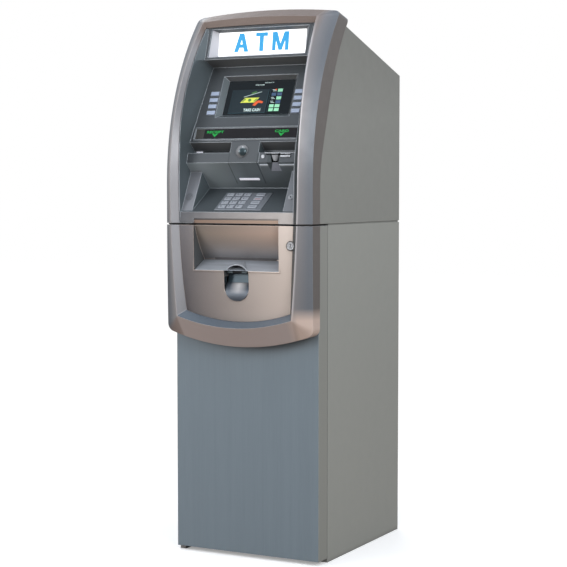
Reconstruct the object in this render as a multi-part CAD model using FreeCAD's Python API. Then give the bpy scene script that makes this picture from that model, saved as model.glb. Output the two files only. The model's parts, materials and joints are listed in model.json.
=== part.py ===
import FreeCAD, Part
import math
import os
from FreeCAD import Placement, Rotation, Vector

# Free-standing cash machine, millimetres.
# It is modelled with X to the user's right, Y = 0 just behind the door's front face, +Y to the back,
# Z up from the floor.  save() then shifts every piece so that the origin is the centre of the
# floor anchor pattern.  The upper fascia flips up about a pivot behind its sign, and the lower
# door swings about a pivot at its left edge.

# ---------------------------------------------------------------- cabinet
CAB_HALF_W = 210.0        # half width of the safe and of the upper housing
CAB_D = 485.0             # back of the cabinet
SEAM_Z = 866.0            # top of the safe, where the upper half begins
HOUSING_Z = 870.0         # bottom edge of the upper half
HOUSING_TOP_Z = 1375.0    # front edge of the sloping roof
HOUSING_BACK_Z = 1270.0   # back edge of the sloping roof
SAFE_WALL = 4.0
HOUSING_WALL = 2.5
BASE_T = 6.0
JAMB_Y = 38.0             # front plane of the safe's door frame
JAMB_T = 4.0
JAMB_OPEN_X = 190.0
JAMB_OPEN_Z0 = 40.0
JAMB_OPEN_Z1 = 838.0
PLINTH_INSET = 2.5        # step between the two halves, seen as a dark line
ANCHOR_X = 140.0
ANCHOR_Y = 150.0
ANCHOR_R = 8.0
CONDUIT_R = 20.0          # cable entry in the back of the safe
CONDUIT_X = 150.0
CONDUIT_Z = 80.0

# ---------------------------------------------------------------- door
DOOR_Z0 = 11.0
DOOR_Z1 = 865.5
DOOR_Y = -12.0            # front face of the door
DOOR_D = 48.0
DOOR_T = 3.0
DOOR_AXIS_X = -203.5
DOOR_AXIS_Y = 8.0
PIVOT_R = 3.0
RUN_FIT = 0.06            # radial running clearance of pins and shafts

# ---------------------------------------------------------------- bezel
BEZEL_HALF_W = 213.0
OUTER_Y = -53.0           # front outer edge along the straight part
ARC_START_Z = 970.0       # above this the bezel leans back on an arc
ARC_R = 684.0
LOWER_LEAN = 0.00005      # slight lean of the lower end, per mm
CREST_RISE = 30.0         # how far the crest stands in front of the outer edge
CREST_GROWTH = 0.000044
BEVEL_DEPTH = 15.0        # inner bevel, crest to fascia
BEVEL_GROWTH = 0.0002
BEVEL_W = 15.5
BEVEL_NARROW = 8.0        # how much narrower the bevel is beside the screen and sign
REAR_SWELL = 21.0         # extra depth of the bezel towards its top
WAIST_Z = 1020.0          # height of the widest point
CREST_HALF_W = 185.0
CREST_BOW = 0.000123
OUTER_BOW = 0.00002
BEZEL_T = 4.5             # moulding wall
CORNER_R = 17.0

# ---------------------------------------------------------------- fascia
FLIP_Y = 134.0            # pivot of the upper fascia
FLIP_Z = 1396.0
FLIP_X = 120.0
PANEL_T = 3.5
CHEEK_T = 3.0
CHEEK_TOP_X = 149.0       # the side walls lean in to this half width at the top of the panel
SIGN_TOP = (64.5, 1381.0)         # (Y, Z) corners of the fascia's section, top to bottom
SIGN_LIP = (37.0, 1295.0)
PANEL_TOP = (80.0, 1278.0)
PANEL_LOW = (-11.7, 1078.0)
SHELF_BACK_UP = (12.0, 1056.0)
SHELF_BACK = (12.0, 1052.0)
SHELF_EDGE = (-21.7, 1050.7)
LEDGE_LOW = (-31.0, 1025.1)
PAD_TOP = (30.0, 960.0)
PAD_LOW = (-65.0, 899.0)
BAND_LOW = (-68.0, 870.0)
WING_TOP = (-8.5, 1004.0)
WING_LOW = (-60.0, 901.9)
WING_X = 132.0
BLOCK_X = 42.0

# ---------------------------------------------------------------- screen, keys, strip
SCREEN_MID = 88.0         # distance of the screen recess's middle below PANEL_TOP
SCREEN_HALF_W = 109.5
SCREEN_HALF_H = 60.0
GLASS_HALF_W = 97.5
GLASS_HALF_H = 49.5
GLASS_RISE = 2.5          # the glass sits slightly above the recess's middle
SCREEN_DEPTH = 14.0
SOFT_KEY_X = 124.5
SOFT_KEY_W = 24.0
SOFT_KEY_H = 11.0
SOFT_KEY_TOP = 79.0
SOFT_KEY_PITCH = 18.5
STRIP_MID = 195.5
STRIP_HALF_W = 155.0
STRIP_HALF_H = 14.0
RIM_HALF_W = 159.0
RIM_HALF_H = 18.0
KEY_W = 20.0
KEY_H = 12.5
FUNC_KEY_W = 25.0
KEY_TOP = 35.4            # first key row below PAD_TOP
KEY_PITCH = 18.6
KEY_COLUMNS = (-50.0, -25.0, 0.0)
FUNC_COLUMN = 39.0
KEY_GAP = 0.5
PLATE_HALF_W = 68.0
PLATE_TOP = 24.5
PLATE_LOW = 104.5

# ---------------------------------------------------------------- cash pocket and lock
POCKET_X = 124.0
POCKET_TOP = (-67.0, 884.0)
POCKET_MID = (-51.0, 839.0)
POCKET_BACK = (-13.0, 777.0)
TRAY_FRONT = (-62.0, 750.0)
SCOOP_X = 36.0
SCOOP_MID_Z = 708.0
SCOOP_TOP_Z = 750.0
LOCK_X = 159.0
LOCK_Z = 816.0
LOCK_R = 8.4
LOCK_RING_R = 12.5
BOLT_R = 6.0
BOLT_Y = 53.0
BOLT_HEIGHTS = (620.0, 715.0, 790.0)

CARD_X0 = 47.0            # card reader's front moulding
CARD_X1 = 165.0
CARD_SLOT_Z = 1045.0
NOTCH_X = 92.0            # finger notch that crosses the card slot
LIGHT_AT = 57.1           # keypad lamp, below LEDGE_LOW
DOME_X = -6.0             # camera dome
DOME_AT = 25.4            # below PANEL_LOW
DOME_R = 17.0
JACK_X = 146.0
JACK_AT = 74.6            # earphone socket, below WING_TOP
LATCH_X = 130.0
LATCH_Y = 14.0

# ---------------------------------------------------------------- sign and printer
SIGN_MID = 44.2
SIGN_HALF_W = 143.0
SIGN_HALF_H = 38.6
LENS_HALF_W = 129.0
LENS_TOP = (78.0, 1368.0)
LENS_LOW = (70.0, 1306.0)
ROLL_Y = 118.0
ROLL_Z = 1104.0
ROLL_R = 34.0
SPINDLE_R = 6.0

# ---------------------------------------------------------------- dispenser
DISP_HALF_W = 107.0
DISP_WALL = 3.0
ROLLER_Y = 48.0           # just behind the door pan
ROLLER_R = 8.0
ROLLER_SHAFT_R = 4.0
DRIVE_Z = 787.6
IDLER_Z = 771.0

INLET_X = 150.0
INLET_Z = 925.0
SWITCH_Z = INLET_Z + 11.5
ROCKER_TILT = 10.0
SCREW_R = 2.0

BIG = 1000.0


# ================================================================ shape helpers
def box(x0, x1, y0, y1, z0, z1):
    return Part.makeBox(x1 - x0, y1 - y0, z1 - z0, Vector(x0, y0, z0))


def rod(radius, start, end):
    a = Vector(*start)
    b = Vector(*end)
    return Part.makeCylinder(radius, (b - a).Length, a, b - a)


def extrude_x(face, x0, x1):
    return face.translated(Vector(x0, 0, 0)).extrude(Vector(x1 - x0, 0, 0))


def yz_face(points):
    """Flat face in the YZ plane from (y, z) corners."""
    corners = [Vector(0, y, z) for y, z in points]
    return Part.Face(Part.makePolygon(corners + corners[:1]))


def slab(points, x0, x1):
    return extrude_x(yz_face(points), x0, x1)


def both_sides(shape):
    """The shape and its mirror image across X = 0."""
    return shape.fuse(shape.mirror(Vector(0, 0, 0), Vector(1, 0, 0)))


def fuse_all(shapes):
    return shapes[0].fuse(shapes[1:]).removeSplitter()


def offset_line(points, distance):
    """Parallel copy of an open (y, z) line, to the left of its direction of travel."""
    shifted = []
    for (y0, z0), (y1, z1) in zip(points, points[1:]):
        length = math.hypot(y1 - y0, z1 - z0)
        ny = -(z1 - z0) / length * distance
        nz = (y1 - y0) / length * distance
        shifted.append(((y0 + ny, z0 + nz), (y1 + ny, z1 + nz)))
    result = [shifted[0][0]]
    for (a, b), (c, d) in zip(shifted, shifted[1:]):
        result.append(meet(a, b, c, d))
    result.append(shifted[-1][1])
    return result


def meet(a, b, c, d):
    """Crossing point of the lines a-b and c-d."""
    ry, rz = b[0] - a[0], b[1] - a[1]
    sy, sz = d[0] - c[0], d[1] - c[1]
    t = ((c[0] - a[0]) * sz - (c[1] - a[1]) * sy) / (ry * sz - rz * sy)
    return (a[0] + t * ry, a[1] + t * rz)


def plane_frame(top, low, distance=0.0):
    """Placement on a sloping face: x across, y up the slope, z out of the face.

    The face runs from top down to low, and the origin lies distance below top.
    """
    length = math.hypot(top[0] - low[0], top[1] - low[1])
    up_y = (top[0] - low[0]) / length
    up_z = (top[1] - low[1]) / length
    base = Vector(0, top[0] - up_y * distance, top[1] - up_z * distance)
    angle = math.degrees(math.atan2(up_z, up_y))
    return Placement(base, Rotation(Vector(1, 0, 0), angle))


def place(shape, placement):
    moved = shape.copy()
    moved.Placement = placement.multiply(moved.Placement)
    return moved


def rectangle(half_w, half_h, z, rise=0.0):
    corners = [Vector(-half_w, rise - half_h, z), Vector(half_w, rise - half_h, z),
               Vector(half_w, rise + half_h, z), Vector(-half_w, rise + half_h, z)]
    return Part.makePolygon(corners + corners[:1])


def hollow_box(x0, x1, y0, y1, z0, z1, wall):
    inner = box(x0 + wall, x1 - wall, y0 + wall, y1 - wall, z0 + wall, z1 - wall)
    return box(x0, x1, y0, y1, z0, z1).cut(inner)


def cap(width, height, z0, z1, edge):
    """Key or button: a block with rounded corners and a rounded top rim."""
    body = box(-width / 2, width / 2, -height / 2, height / 2, z0, z1)
    upright = [e for e in body.Edges if abs(e.tangentAt(e.FirstParameter).z) > 0.9]
    body = body.makeFillet(1.5 * edge, upright)
    rim = [e for e in body.Edges if min(v.Z for v in e.Vertexes) > z1 - 0.01]
    return body.makeFillet(edge, rim)


# ================================================================ bezel curves
def outer_y(z):
    if z <= ARC_START_Z:
        return OUTER_Y + LOWER_LEAN * max(0.0, SEAM_Z - z) ** 2
    return OUTER_Y + ARC_R - math.sqrt(ARC_R ** 2 - (z - ARC_START_Z) ** 2)


def crest_y(z):
    return outer_y(z) - CREST_RISE - CREST_GROWTH * max(0.0, z - ARC_START_Z) ** 2


def inner_y(z):
    return crest_y(z) + BEVEL_DEPTH + BEVEL_GROWTH * max(0.0, SEAM_Z - z) ** 2


def smooth_step(z, low, high):
    share = min(1.0, max(0.0, (z - low) / (high - low)))
    return share * share * (3.0 - 2.0 * share)


def rear_y(z):
    above = max(0.0, z - ARC_START_Z)
    arc = ARC_R - math.sqrt(ARC_R ** 2 - above ** 2)
    return DOOR_Y + arc + REAR_SWELL * smooth_step(z, 960.0, 1170.0)


def outer_w(z):
    return BEZEL_HALF_W - OUTER_BOW * max(0.0, z - WAIST_Z) ** 2


def crest_w(z):
    return CREST_HALF_W - CREST_BOW * (z - WAIST_Z) ** 2


def inner_w(z):
    return crest_w(z) - BEVEL_W + BEVEL_NARROW * smooth_step(z, 1000.0, 1200.0)


def loop(half_w, y_of, low, top, radius):
    """One closed rail of the bezel, as eight edges starting with the right side.

    low and top are (corner height, middle height); radius rounds the corners.
    """
    steps = 12
    heights = [low[0] + (top[0] - low[0]) * i / steps for i in range(steps + 1)]
    right = [Vector(half_w(z), y_of(z), z) for z in heights]
    left = [Vector(-p.x, p.y, p.z) for p in reversed(right)]
    over = Part.Arc(right[-1], Vector(0, y_of(top[0]), top[1]), left[0])
    under = Part.Arc(left[-1], Vector(0, y_of(low[0]), low[1]), right[0])
    runs = []
    for points in (right, left):
        curve = Part.BSplineCurve()
        curve.interpolate(points)
        runs.append(curve)
    sides = [trim(runs[0].toShape(), radius), trim(over.toShape(), radius),
             trim(runs[1].toShape(), radius), trim(under.toShape(), radius)]
    corners = [right[-1], left[0], left[-1], right[0]]
    edges = []
    for i, side in enumerate(sides):
        following = sides[(i + 1) % 4]
        turn = Part.BezierCurve()
        turn.setPoles([side.valueAt(side.LastParameter), corners[i],
                       following.valueAt(following.FirstParameter)])
        edges += [side, turn.toShape()]
    return edges


def trim(edge, cut):
    first = edge.getParameterByLength(cut)
    last = edge.getParameterByLength(edge.Length - cut)
    return edge.Curve.toShape(first, last)


def ring(rails):
    """Closed ring whose section runs round the rails in order."""
    faces = []
    for rail, following in zip(rails, rails[1:] + rails[:1]):
        for a, b in zip(rail, following):
            faces.append(Part.makeRuledSurface(a, b))
    shell = Part.makeCompound(faces)
    shell.sewShape()
    solid = Part.Solid(shell.Shells[0])
    if solid.Volume < 0:
        solid.reverse()
    return solid


def bezel_ring():
    """Whole bezel, from its bottom sweep to its crown, as a hollow moulding."""
    rear = loop(outer_w, rear_y, (592, 556), (1398, 1426), CORNER_R)
    outer = loop(outer_w, outer_y, (592, 554), (1412, 1424), CORNER_R)
    crest = loop(crest_w, crest_y, (630, 604), (1396, 1403), 3.0)
    inner = loop(inner_w, inner_y, (644, 619), (1380, 1383), 2.0)
    rear_in = loop(inner_w, rear_y, (644, 619), (1380, 1383), 2.0)
    return ring([rear, outer, crest, inner, rear_in])


def bezel_void():
    t = BEZEL_T
    rear = loop(lambda z: outer_w(z) - t, lambda z: rear_y(z) - t, (597, 561), (1394, 1420), CORNER_R)
    outer = loop(lambda z: outer_w(z) - t, lambda z: outer_y(z) + 2, (597, 560), (1405, 1418), CORNER_R)
    crest = loop(lambda z: crest_w(z) + 1, lambda z: crest_y(z) + 6, (629, 603), (1396, 1404), 3.0)
    inner = loop(lambda z: inner_w(z) + t, lambda z: inner_y(z) + 4, (639, 614), (1385, 1388), 2.0)
    rear_in = loop(lambda z: inner_w(z) + t, lambda z: rear_y(z) - t, (639, 614), (1385, 1388), 2.0)
    return ring([rear, outer, crest, inner, rear_in])



def inner_prism(inset, y0, y1):
    """Everything inside the bezel's inner rail, shrunk by inset, from y0 back to y1."""
    rail = loop(lambda z: inner_w(z) - inset, lambda z: y0, (644 + inset, 619 + inset),
                (1380 - inset, 1383 - inset), 2.0)
    return Part.Face(Part.Wire(rail)).extrude(Vector(0, y1 - y0, 0))


# ================================================================ bezel pieces
def upper_bezel():
    whole = bezel_ring().cut(bezel_void())
    upper = whole.common(box(-BIG, BIG, -BIG, BIG, HOUSING_Z, 2 * BIG))
    for side in (-1, 1):
        x = side * FLIP_X
        for x0 in (x - 9.0, x + 5.0):
            ear = box(x0, x0 + 4.0, FLIP_Y - 8.0, FLIP_Y + 8.0, 1385.0, FLIP_Z + 8.0)
            upper = upper.fuse(ear)
        upper = upper.cut(rod(PIVOT_R + RUN_FIT, (x - 12, FLIP_Y, FLIP_Z), (x + 12, FLIP_Y, FLIP_Z)))
        upper = upper.cut(box(x - 4.0, x + 4.0, FLIP_Y + 8.5, 210.0, 1300.0, FLIP_Z + 15.0))
    return upper


def lower_bezel():
    whole = bezel_ring().cut(bezel_void())
    lower = whole.common(box(-BIG, BIG, -BIG, DOOR_Y - 0.05, 0, DOOR_Z1))
    return lower.cut([lock_hole(LOCK_RING_R + 0.1, -100, -65.2), lock_hole(LOCK_R + 0.4, -100, 0)])


# ================================================================ upper fascia
def fascia_line():
    return [SIGN_TOP, SIGN_LIP, PANEL_TOP, PANEL_LOW, SHELF_BACK_UP, SHELF_BACK, SHELF_EDGE,
            LEDGE_LOW, PAD_TOP, PAD_LOW, BAND_LOW]


def low_cheeks():
    """Walls beside the ledge and keypad, from the bezel's inner edge back to the panels."""
    steps = 5
    z0 = BAND_LOW[1]
    z1 = PANEL_LOW[1]
    heights = [z0 + (z1 - z0) * i / steps for i in range(steps + 1)]
    front = [(inner_y(z) + 1.0, z) for z in heights]
    back = [(y + 6.0, z) for y, z in fascia_line()[3:]]
    walls = inner_prism(0.3, -120, 160).cut(inner_prism(0.3 + CHEEK_T, -130, 170))
    return walls.common(slab(front + back, -BIG, BIG))


def high_cheek():
    """Right wall beside screen and sign; it leans inwards from the bezel to the panel."""
    def panel_y(z):
        share = (z - PANEL_LOW[1]) / (PANEL_TOP[1] - PANEL_LOW[1])
        return PANEL_LOW[0] + share * (PANEL_TOP[0] - PANEL_LOW[0])

    def sign_y(z):
        share = (z - SIGN_LIP[1]) / (SIGN_TOP[1] - SIGN_LIP[1])
        return SIGN_LIP[0] + share * (SIGN_TOP[0] - SIGN_LIP[0])

    low_w = inner_w(PANEL_LOW[1]) - CHEEK_T
    levels = []
    for i in range(5):
        z = PANEL_LOW[1] + (PANEL_TOP[1] - PANEL_LOW[1]) * i / 4
        levels.append((z, panel_y(z) + 4.0, low_w + (CHEEK_TOP_X - low_w) * i / 4))
    for i in range(3):
        z = SIGN_LIP[1] + (SIGN_TOP[1] - 2.5 - SIGN_LIP[1]) * i / 2
        levels.append((z, sign_y(z) + 4.0, CHEEK_TOP_X))
    wires = []
    for z, back, x in levels:
        outer = inner_w(z) - 1.0
        front = inner_y(z) + 1.0
        corners = [Vector(outer, front, z), Vector(outer, back, z), Vector(x, back, z),
                   Vector(outer - 1.2, front, z)]
        wires.append(Part.makePolygon(corners + corners[:1]))
    return Part.makeLoft(wires, True, True)


def screen_funnel():
    """Moulded frame that slopes from the panel face back to the glass."""
    place_on = plane_frame(PANEL_TOP, PANEL_LOW, SCREEN_MID)
    wall = 2.0
    glass = rectangle(GLASS_HALF_W, GLASS_HALF_H, -SCREEN_DEPTH, GLASS_RISE)
    mouth = rectangle(SCREEN_HALF_W, SCREEN_HALF_H, 0.0)
    outside = Part.makeLoft([rectangle(GLASS_HALF_W + wall, GLASS_HALF_H + wall, -SCREEN_DEPTH, GLASS_RISE),
                             rectangle(SCREEN_HALF_W + wall, SCREEN_HALF_H + wall, -0.1)], True)
    hole = Part.makeLoft([glass, mouth], True)
    hole = hole.fuse([Part.Face(glass).extrude(Vector(0, 0, -SCREEN_DEPTH)),
                      Part.Face(mouth).extrude(Vector(0, 0, 6.0))])
    return place(outside, place_on), place(hole, place_on)


def soft_key_places():
    rows = [SOFT_KEY_TOP + SOFT_KEY_PITCH * i for i in range(4)]
    return [(side * SOFT_KEY_X, row) for side in (-1, 1) for row in rows]


def keypad_places():
    rows = [KEY_TOP + KEY_PITCH * i for i in range(4)]
    numbers = [(x, row, KEY_W) for row in rows for x in KEY_COLUMNS]
    functions = [(FUNC_COLUMN, row, FUNC_KEY_W) for row in rows]
    return numbers, functions


def plane_block(top, low, distance, x, half_w, half_h, z0, z1):
    block = box(x - half_w, x + half_w, -half_h, half_h, z0, z1)
    return place(block, plane_frame(top, low, distance))


def pocket_space(x):
    """Space of the cash pocket, bounded at the back by its curved wall."""
    def point(p):
        return Vector(0, p[0], p[1])
    front_y = -120.0
    start = point((front_y, POCKET_TOP[1]))
    end = point((front_y, TRAY_FRONT[1]))
    curve = Part.Arc(point(POCKET_TOP), point(POCKET_MID), point(POCKET_BACK)).toShape()
    lines = [Part.makeLine(start, point(POCKET_TOP)), curve,
             Part.makeLine(point(POCKET_BACK), point((POCKET_BACK[0], TRAY_FRONT[1]))),
             Part.makeLine(point((POCKET_BACK[0], TRAY_FRONT[1])), end), Part.makeLine(end, start)]
    return extrude_x(Part.Face(Part.Wire(lines)), -x, x)


def fascia_panel():
    line = fascia_line()
    skin = slab(line + list(reversed(offset_line(line, PANEL_T))), -BIG / 4, BIG / 4)
    block = slab([PANEL_LOW, SHELF_EDGE, SHELF_BACK, SHELF_BACK_UP], -BLOCK_X, BLOCK_X)
    wing = slab([WING_TOP, WING_LOW, PAD_TOP], WING_X, BIG / 4)
    band = slab([PAD_LOW, BAND_LOW, (BAND_LOW[0] + 9, BAND_LOW[1]), (PAD_LOW[0] + 9, PAD_LOW[1])],
                -BIG / 4, BIG / 4)
    latch_guide = box(116.0, 144.0, 2.0, 26.0, 890.0, 955.0)
    latch_guide = latch_guide.cut(slab([PAD_TOP, PAD_LOW, (PAD_LOW[0], 1000.0), (PAD_TOP[0], 1000.0)],
                                       -BIG / 4, BIG / 4))
    funnel, screen_hole = screen_funnel()
    rim = plane_block(PANEL_TOP, PANEL_LOW, STRIP_MID, 0, RIM_HALF_W, RIM_HALF_H, -1.0, 2.5)
    rim = rim.cut(plane_block(PANEL_TOP, PANEL_LOW, STRIP_MID, 0, RIM_HALF_W - 2.5,
                              RIM_HALF_H - 2.5, 0.0, 5.0))
    body = skin.fuse([block, wing, wing.mirror(Vector(0, 0, 0), Vector(1, 0, 0)), band, funnel, rim,
                      latch_guide])
    body = body.common(inner_prism(0.3, -120, 200)).fuse([low_cheeks(), both_sides(high_cheek())])
    holes = [screen_hole, sign_opening(), pocket_space(POCKET_X)]
    holes.append(plane_block(PANEL_TOP, PANEL_LOW, STRIP_MID, 0, STRIP_HALF_W + 0.2,
                             STRIP_HALF_H + 0.2, -2.0, 5.0))
    for x, row in soft_key_places():
        holes.append(plane_block(PANEL_TOP, PANEL_LOW, row, x, SOFT_KEY_W / 2 + KEY_GAP,
                                 SOFT_KEY_H / 2 + KEY_GAP, -20.0, 5.0))
    middle = (PLATE_TOP + PLATE_LOW) / 2
    half = (PLATE_LOW - PLATE_TOP) / 2
    holes.append(plane_block(PAD_TOP, PAD_LOW, middle, 0, PLATE_HALF_W - 1.1, half - 1.1, -9.0, 5.0))
    holes.append(box(LATCH_X - 8.3, LATCH_X + 8.3, LATCH_Y - 4.3, LATCH_Y + 4.3, 870.0, 948.0))
    holes.append(card_cavity())
    holes.append(box(-150.0, -62.0, 5.0, 30.0, SHELF_BACK[1] + 0.4, SHELF_BACK_UP[1] - 0.4))
    holes.append(plane_block(LEDGE_LOW, PAD_TOP, LIGHT_AT, 0, 29.2, 3.2, -6.0, 5.0))
    holes.append(camera_seat())
    holes.append(jack_body(5.1, -12.0, 5.0))
    return body.cut(holes).removeSplitter()


def sign_opening():
    return plane_block(SIGN_TOP, SIGN_LIP, SIGN_MID, 0, SIGN_HALF_W, SIGN_HALF_H, -10.0, 10.0)


def card_section(gap):
    top = SHELF_EDGE[1] - 0.3 + gap
    return [(11.5 + gap, top + 1.2), (SHELF_EDGE[0] - gap, top), (LEDGE_LOW[0] - gap, LEDGE_LOW[1]),
            (-7.6 - gap, 1003.2 - gap), (3.0 + gap, 1003.2 - gap), (11.5 + gap, 1012.0)]


def card_cavity():
    return slab(card_section(0.4), CARD_X0 - 0.4, CARD_X1 + 0.4)


def camera_seat():
    seat = Part.makeCylinder(14.0, 40.0, Vector(DOME_X, 0, -32.0))
    return place(seat, plane_frame(PANEL_LOW, LEDGE_LOW, DOME_AT))


def jack_body(radius, z0, z1):
    barrel = Part.makeCylinder(radius, z1 - z0, Vector(JACK_X, 0, z0))
    return place(barrel, plane_frame(WING_TOP, WING_LOW, JACK_AT))


def quad(half_w, top, low):
    corners = [Vector(-half_w, top[0], top[1]), Vector(half_w, top[0], top[1]),
               Vector(half_w, low[0], low[1]), Vector(-half_w, low[0], low[1])]
    return Part.makePolygon(corners + corners[:1])


def sign_box():
    """White tapering light box behind the sign opening, with its lamp tray at the back."""
    grow = 1.5
    line_y = SIGN_TOP[0] - SIGN_LIP[0]
    line_z = SIGN_TOP[1] - SIGN_LIP[1]
    length = math.hypot(line_y, line_z)

    def on_face(distance):
        return (SIGN_TOP[0] - line_y * distance / length + 4.2, SIGN_TOP[1] - line_z * distance / length)

    top = on_face(SIGN_MID - SIGN_HALF_H)
    low = on_face(SIGN_MID + SIGN_HALF_H)
    top_out = on_face(SIGN_MID - SIGN_HALF_H - grow)
    low_out = on_face(SIGN_MID + SIGN_HALF_H + grow)
    inside = Part.makeLoft([quad(SIGN_HALF_W, top, low), quad(LENS_HALF_W, LENS_TOP, LENS_LOW)], True)
    outside = Part.makeLoft([quad(SIGN_HALF_W + grow, top_out, low_out),
                             quad(LENS_HALF_W + grow, (LENS_TOP[0], LENS_TOP[1] + grow),
                                  (LENS_LOW[0], LENS_LOW[1] - grow))], True)
    tray = slab([(LENS_TOP[0], LENS_TOP[1] + grow), (LENS_LOW[0], LENS_LOW[1] - grow),
                 (LENS_LOW[0] + 24, LENS_LOW[1] - grow), (LENS_TOP[0] + 24, LENS_TOP[1] + grow)],
                -LENS_HALF_W - grow, LENS_HALF_W + grow)
    hollow = slab([LENS_TOP, LENS_LOW, (LENS_LOW[0] + 22, LENS_LOW[1]), (LENS_TOP[0] + 22, LENS_TOP[1])],
                  -LENS_HALF_W, LENS_HALF_W)
    return outside.fuse(tray).cut([inside, hollow])


def sign_lens():
    gap = 0.2
    return slab([(LENS_TOP[0] + 0.1, LENS_TOP[1] - gap), (LENS_LOW[0] + 0.1, LENS_LOW[1] + gap),
                 (LENS_LOW[0] + 3.1, LENS_LOW[1] + gap), (LENS_TOP[0] + 3.1, LENS_TOP[1] - gap)],
                -LENS_HALF_W + gap, LENS_HALF_W - gap)


def on_screen(shape):
    return place(shape, plane_frame(PANEL_TOP, PANEL_LOW, SCREEN_MID - GLASS_RISE))


def display_glass():
    z = -SCREEN_DEPTH - 0.1
    return on_screen(box(-GLASS_HALF_W - 3, GLASS_HALF_W + 3, -GLASS_HALF_H - 3, GLASS_HALF_H + 3, z - 3, z))


def display_module():
    """Panel, metal can and connector of the screen, standing behind its glass."""
    front = -SCREEN_DEPTH - 3.3
    can = box(-GLASS_HALF_W - 5, GLASS_HALF_W + 5, -GLASS_HALF_H - 5, GLASS_HALF_H + 5, front - 22, front)
    board = box(-70, 70, -40, 40, front - 36, front - 22)
    plug = box(-20, 20, -52, -40, front - 34, front - 22)
    return on_screen(fuse_all([can, board, plug]))


def status_strip():
    return plane_block(PANEL_TOP, PANEL_LOW, STRIP_MID, 0, STRIP_HALF_W, STRIP_HALF_H, -1.9, 0.6)


def soft_key(x, row):
    face = cap(SOFT_KEY_W, SOFT_KEY_H, -7.0, 2.4, 0.8)
    flange = box(-SOFT_KEY_W / 2 - 1.6, SOFT_KEY_W / 2 + 1.6, -SOFT_KEY_H / 2 - 1.6,
                 SOFT_KEY_H / 2 + 1.6, -8.2, -7.0)
    key = face.fuse(flange)
    key.translate(Vector(x, 0, 0))
    return place(key, plane_frame(PANEL_TOP, PANEL_LOW, row))


def camera_dome():
    """Low silver dome on a collar, with its barrel through the panel."""
    height = 11.0
    radius = (DOME_R ** 2 + height ** 2) / (2 * height)
    dome = Part.makeSphere(radius, Vector(0, 0, height - radius + 1.5))
    dome = dome.common(Part.makeCylinder(DOME_R - 0.5, 30.0, Vector(0, 0, 1.5)))
    collar = Part.makeCylinder(DOME_R, 1.4, Vector(0, 0, 0.1))
    barrel = Part.makeCylinder(13.7, 26.2, Vector(0, 0, -26.0))
    camera = fuse_all([dome, collar, barrel])
    camera.translate(Vector(DOME_X, 0, 0))
    return place(camera, plane_frame(PANEL_LOW, LEDGE_LOW, DOME_AT))


def keypad_light():
    lens = box(-29.0, 29.0, -3.0, 3.0, -5.0, 1.2)
    return place(lens, plane_frame(LEDGE_LOW, PAD_TOP, LIGHT_AT))


def audio_jack():
    barrel = jack_body(5.0, -12.0, 2.0).fuse(jack_body(7.0, 0.05, 1.2))
    return barrel.cut(jack_body(2.0, -8.0, 5.0))


def keypad_plate():
    """Face plate of the keypad and the closed case that holds the key bodies under it."""
    middle = (PLATE_TOP + PLATE_LOW) / 2
    half = (PLATE_LOW - PLATE_TOP) / 2
    face = box(-PLATE_HALF_W, PLATE_HALF_W, -half, half, 0.05, 1.8)
    rim = [e for e in face.Edges if min(v.Z for v in e.Vertexes) > 1.7]
    face = face.makeChamfer(0.8, rim)
    case = box(-PLATE_HALF_W + 1.4, PLATE_HALF_W - 1.4, -half + 1.4, half - 1.4, -15.0, 0.5)
    room = box(-PLATE_HALF_W + 2.6, PLATE_HALF_W - 2.6, -half + 2.6, half - 2.6, -13.0, -2.0)
    body = face.fuse(case).cut(room)
    numbers, functions = keypad_places()
    for x, row, width in numbers + functions:
        y = middle - row
        body = body.cut(box(x - width / 2 - KEY_GAP, x + width / 2 + KEY_GAP,
                            y - KEY_H / 2 - KEY_GAP, y + KEY_H / 2 + KEY_GAP, -5.0, 5.0))
    return place(body, plane_frame(PAD_TOP, PAD_LOW, middle))


def pad_key(x, row, width):
    face = cap(width, KEY_H, -6.0, 4.2, 1.1)
    flange = box(-width / 2 - 1.5, width / 2 + 1.5, -KEY_H / 2 - 1.5, KEY_H / 2 + 1.5, -7.4, -6.0)
    key = face.fuse(flange)
    key.translate(Vector(x, 0, 0))
    return place(key, plane_frame(PAD_TOP, PAD_LOW, row))


def receipt_printer():
    """Printer body with its paper chute, roll cheeks and fixed roll spindle."""
    body = box(-154.0, -58.0, 34.0, 150.0, 990.0, 1064.0)
    chute = box(-148.0, -64.0, 13.0, 34.0, SHELF_BACK[1] + 0.9, SHELF_BACK_UP[1] - 0.9)
    slot = box(-146.0, -66.0, 0.0, 60.0, SHELF_BACK[1] + 1.6, SHELF_BACK_UP[1] - 1.6)
    printer = body.fuse(chute).cut(slot)
    for x in (-154.0, -61.0):
        cheek = slab([(100, 1064), (136, 1064), (ROLL_Y + 9, ROLL_Z + 9), (ROLL_Y - 9, ROLL_Z + 9)], x, x + 3)
        printer = printer.fuse(cheek)
    return printer.fuse(rod(SPINDLE_R - RUN_FIT, (-154, ROLL_Y, ROLL_Z), (-58, ROLL_Y, ROLL_Z)))


def paper_roll():
    roll = rod(ROLL_R, (-148, ROLL_Y, ROLL_Z), (-64, ROLL_Y, ROLL_Z))
    return roll.cut(rod(SPINDLE_R, (-149, ROLL_Y, ROLL_Z), (-63, ROLL_Y, ROLL_Z)))


def card_reader():
    """Front moulding with the card slot and finger notch, and the reader behind it."""
    front = slab(card_section(0.0), CARD_X0, CARD_X1)
    reader = box(62.0, 150.0, 11.0, 118.0, 1013.0, 1048.0)
    body = front.fuse(reader)
    body = body.cut(box(64.0, 122.0, -60.0, 90.0, CARD_SLOT_Z - 1.3, CARD_SLOT_Z + 1.3))
    return body.cut(finger_notch(0.0))


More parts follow.
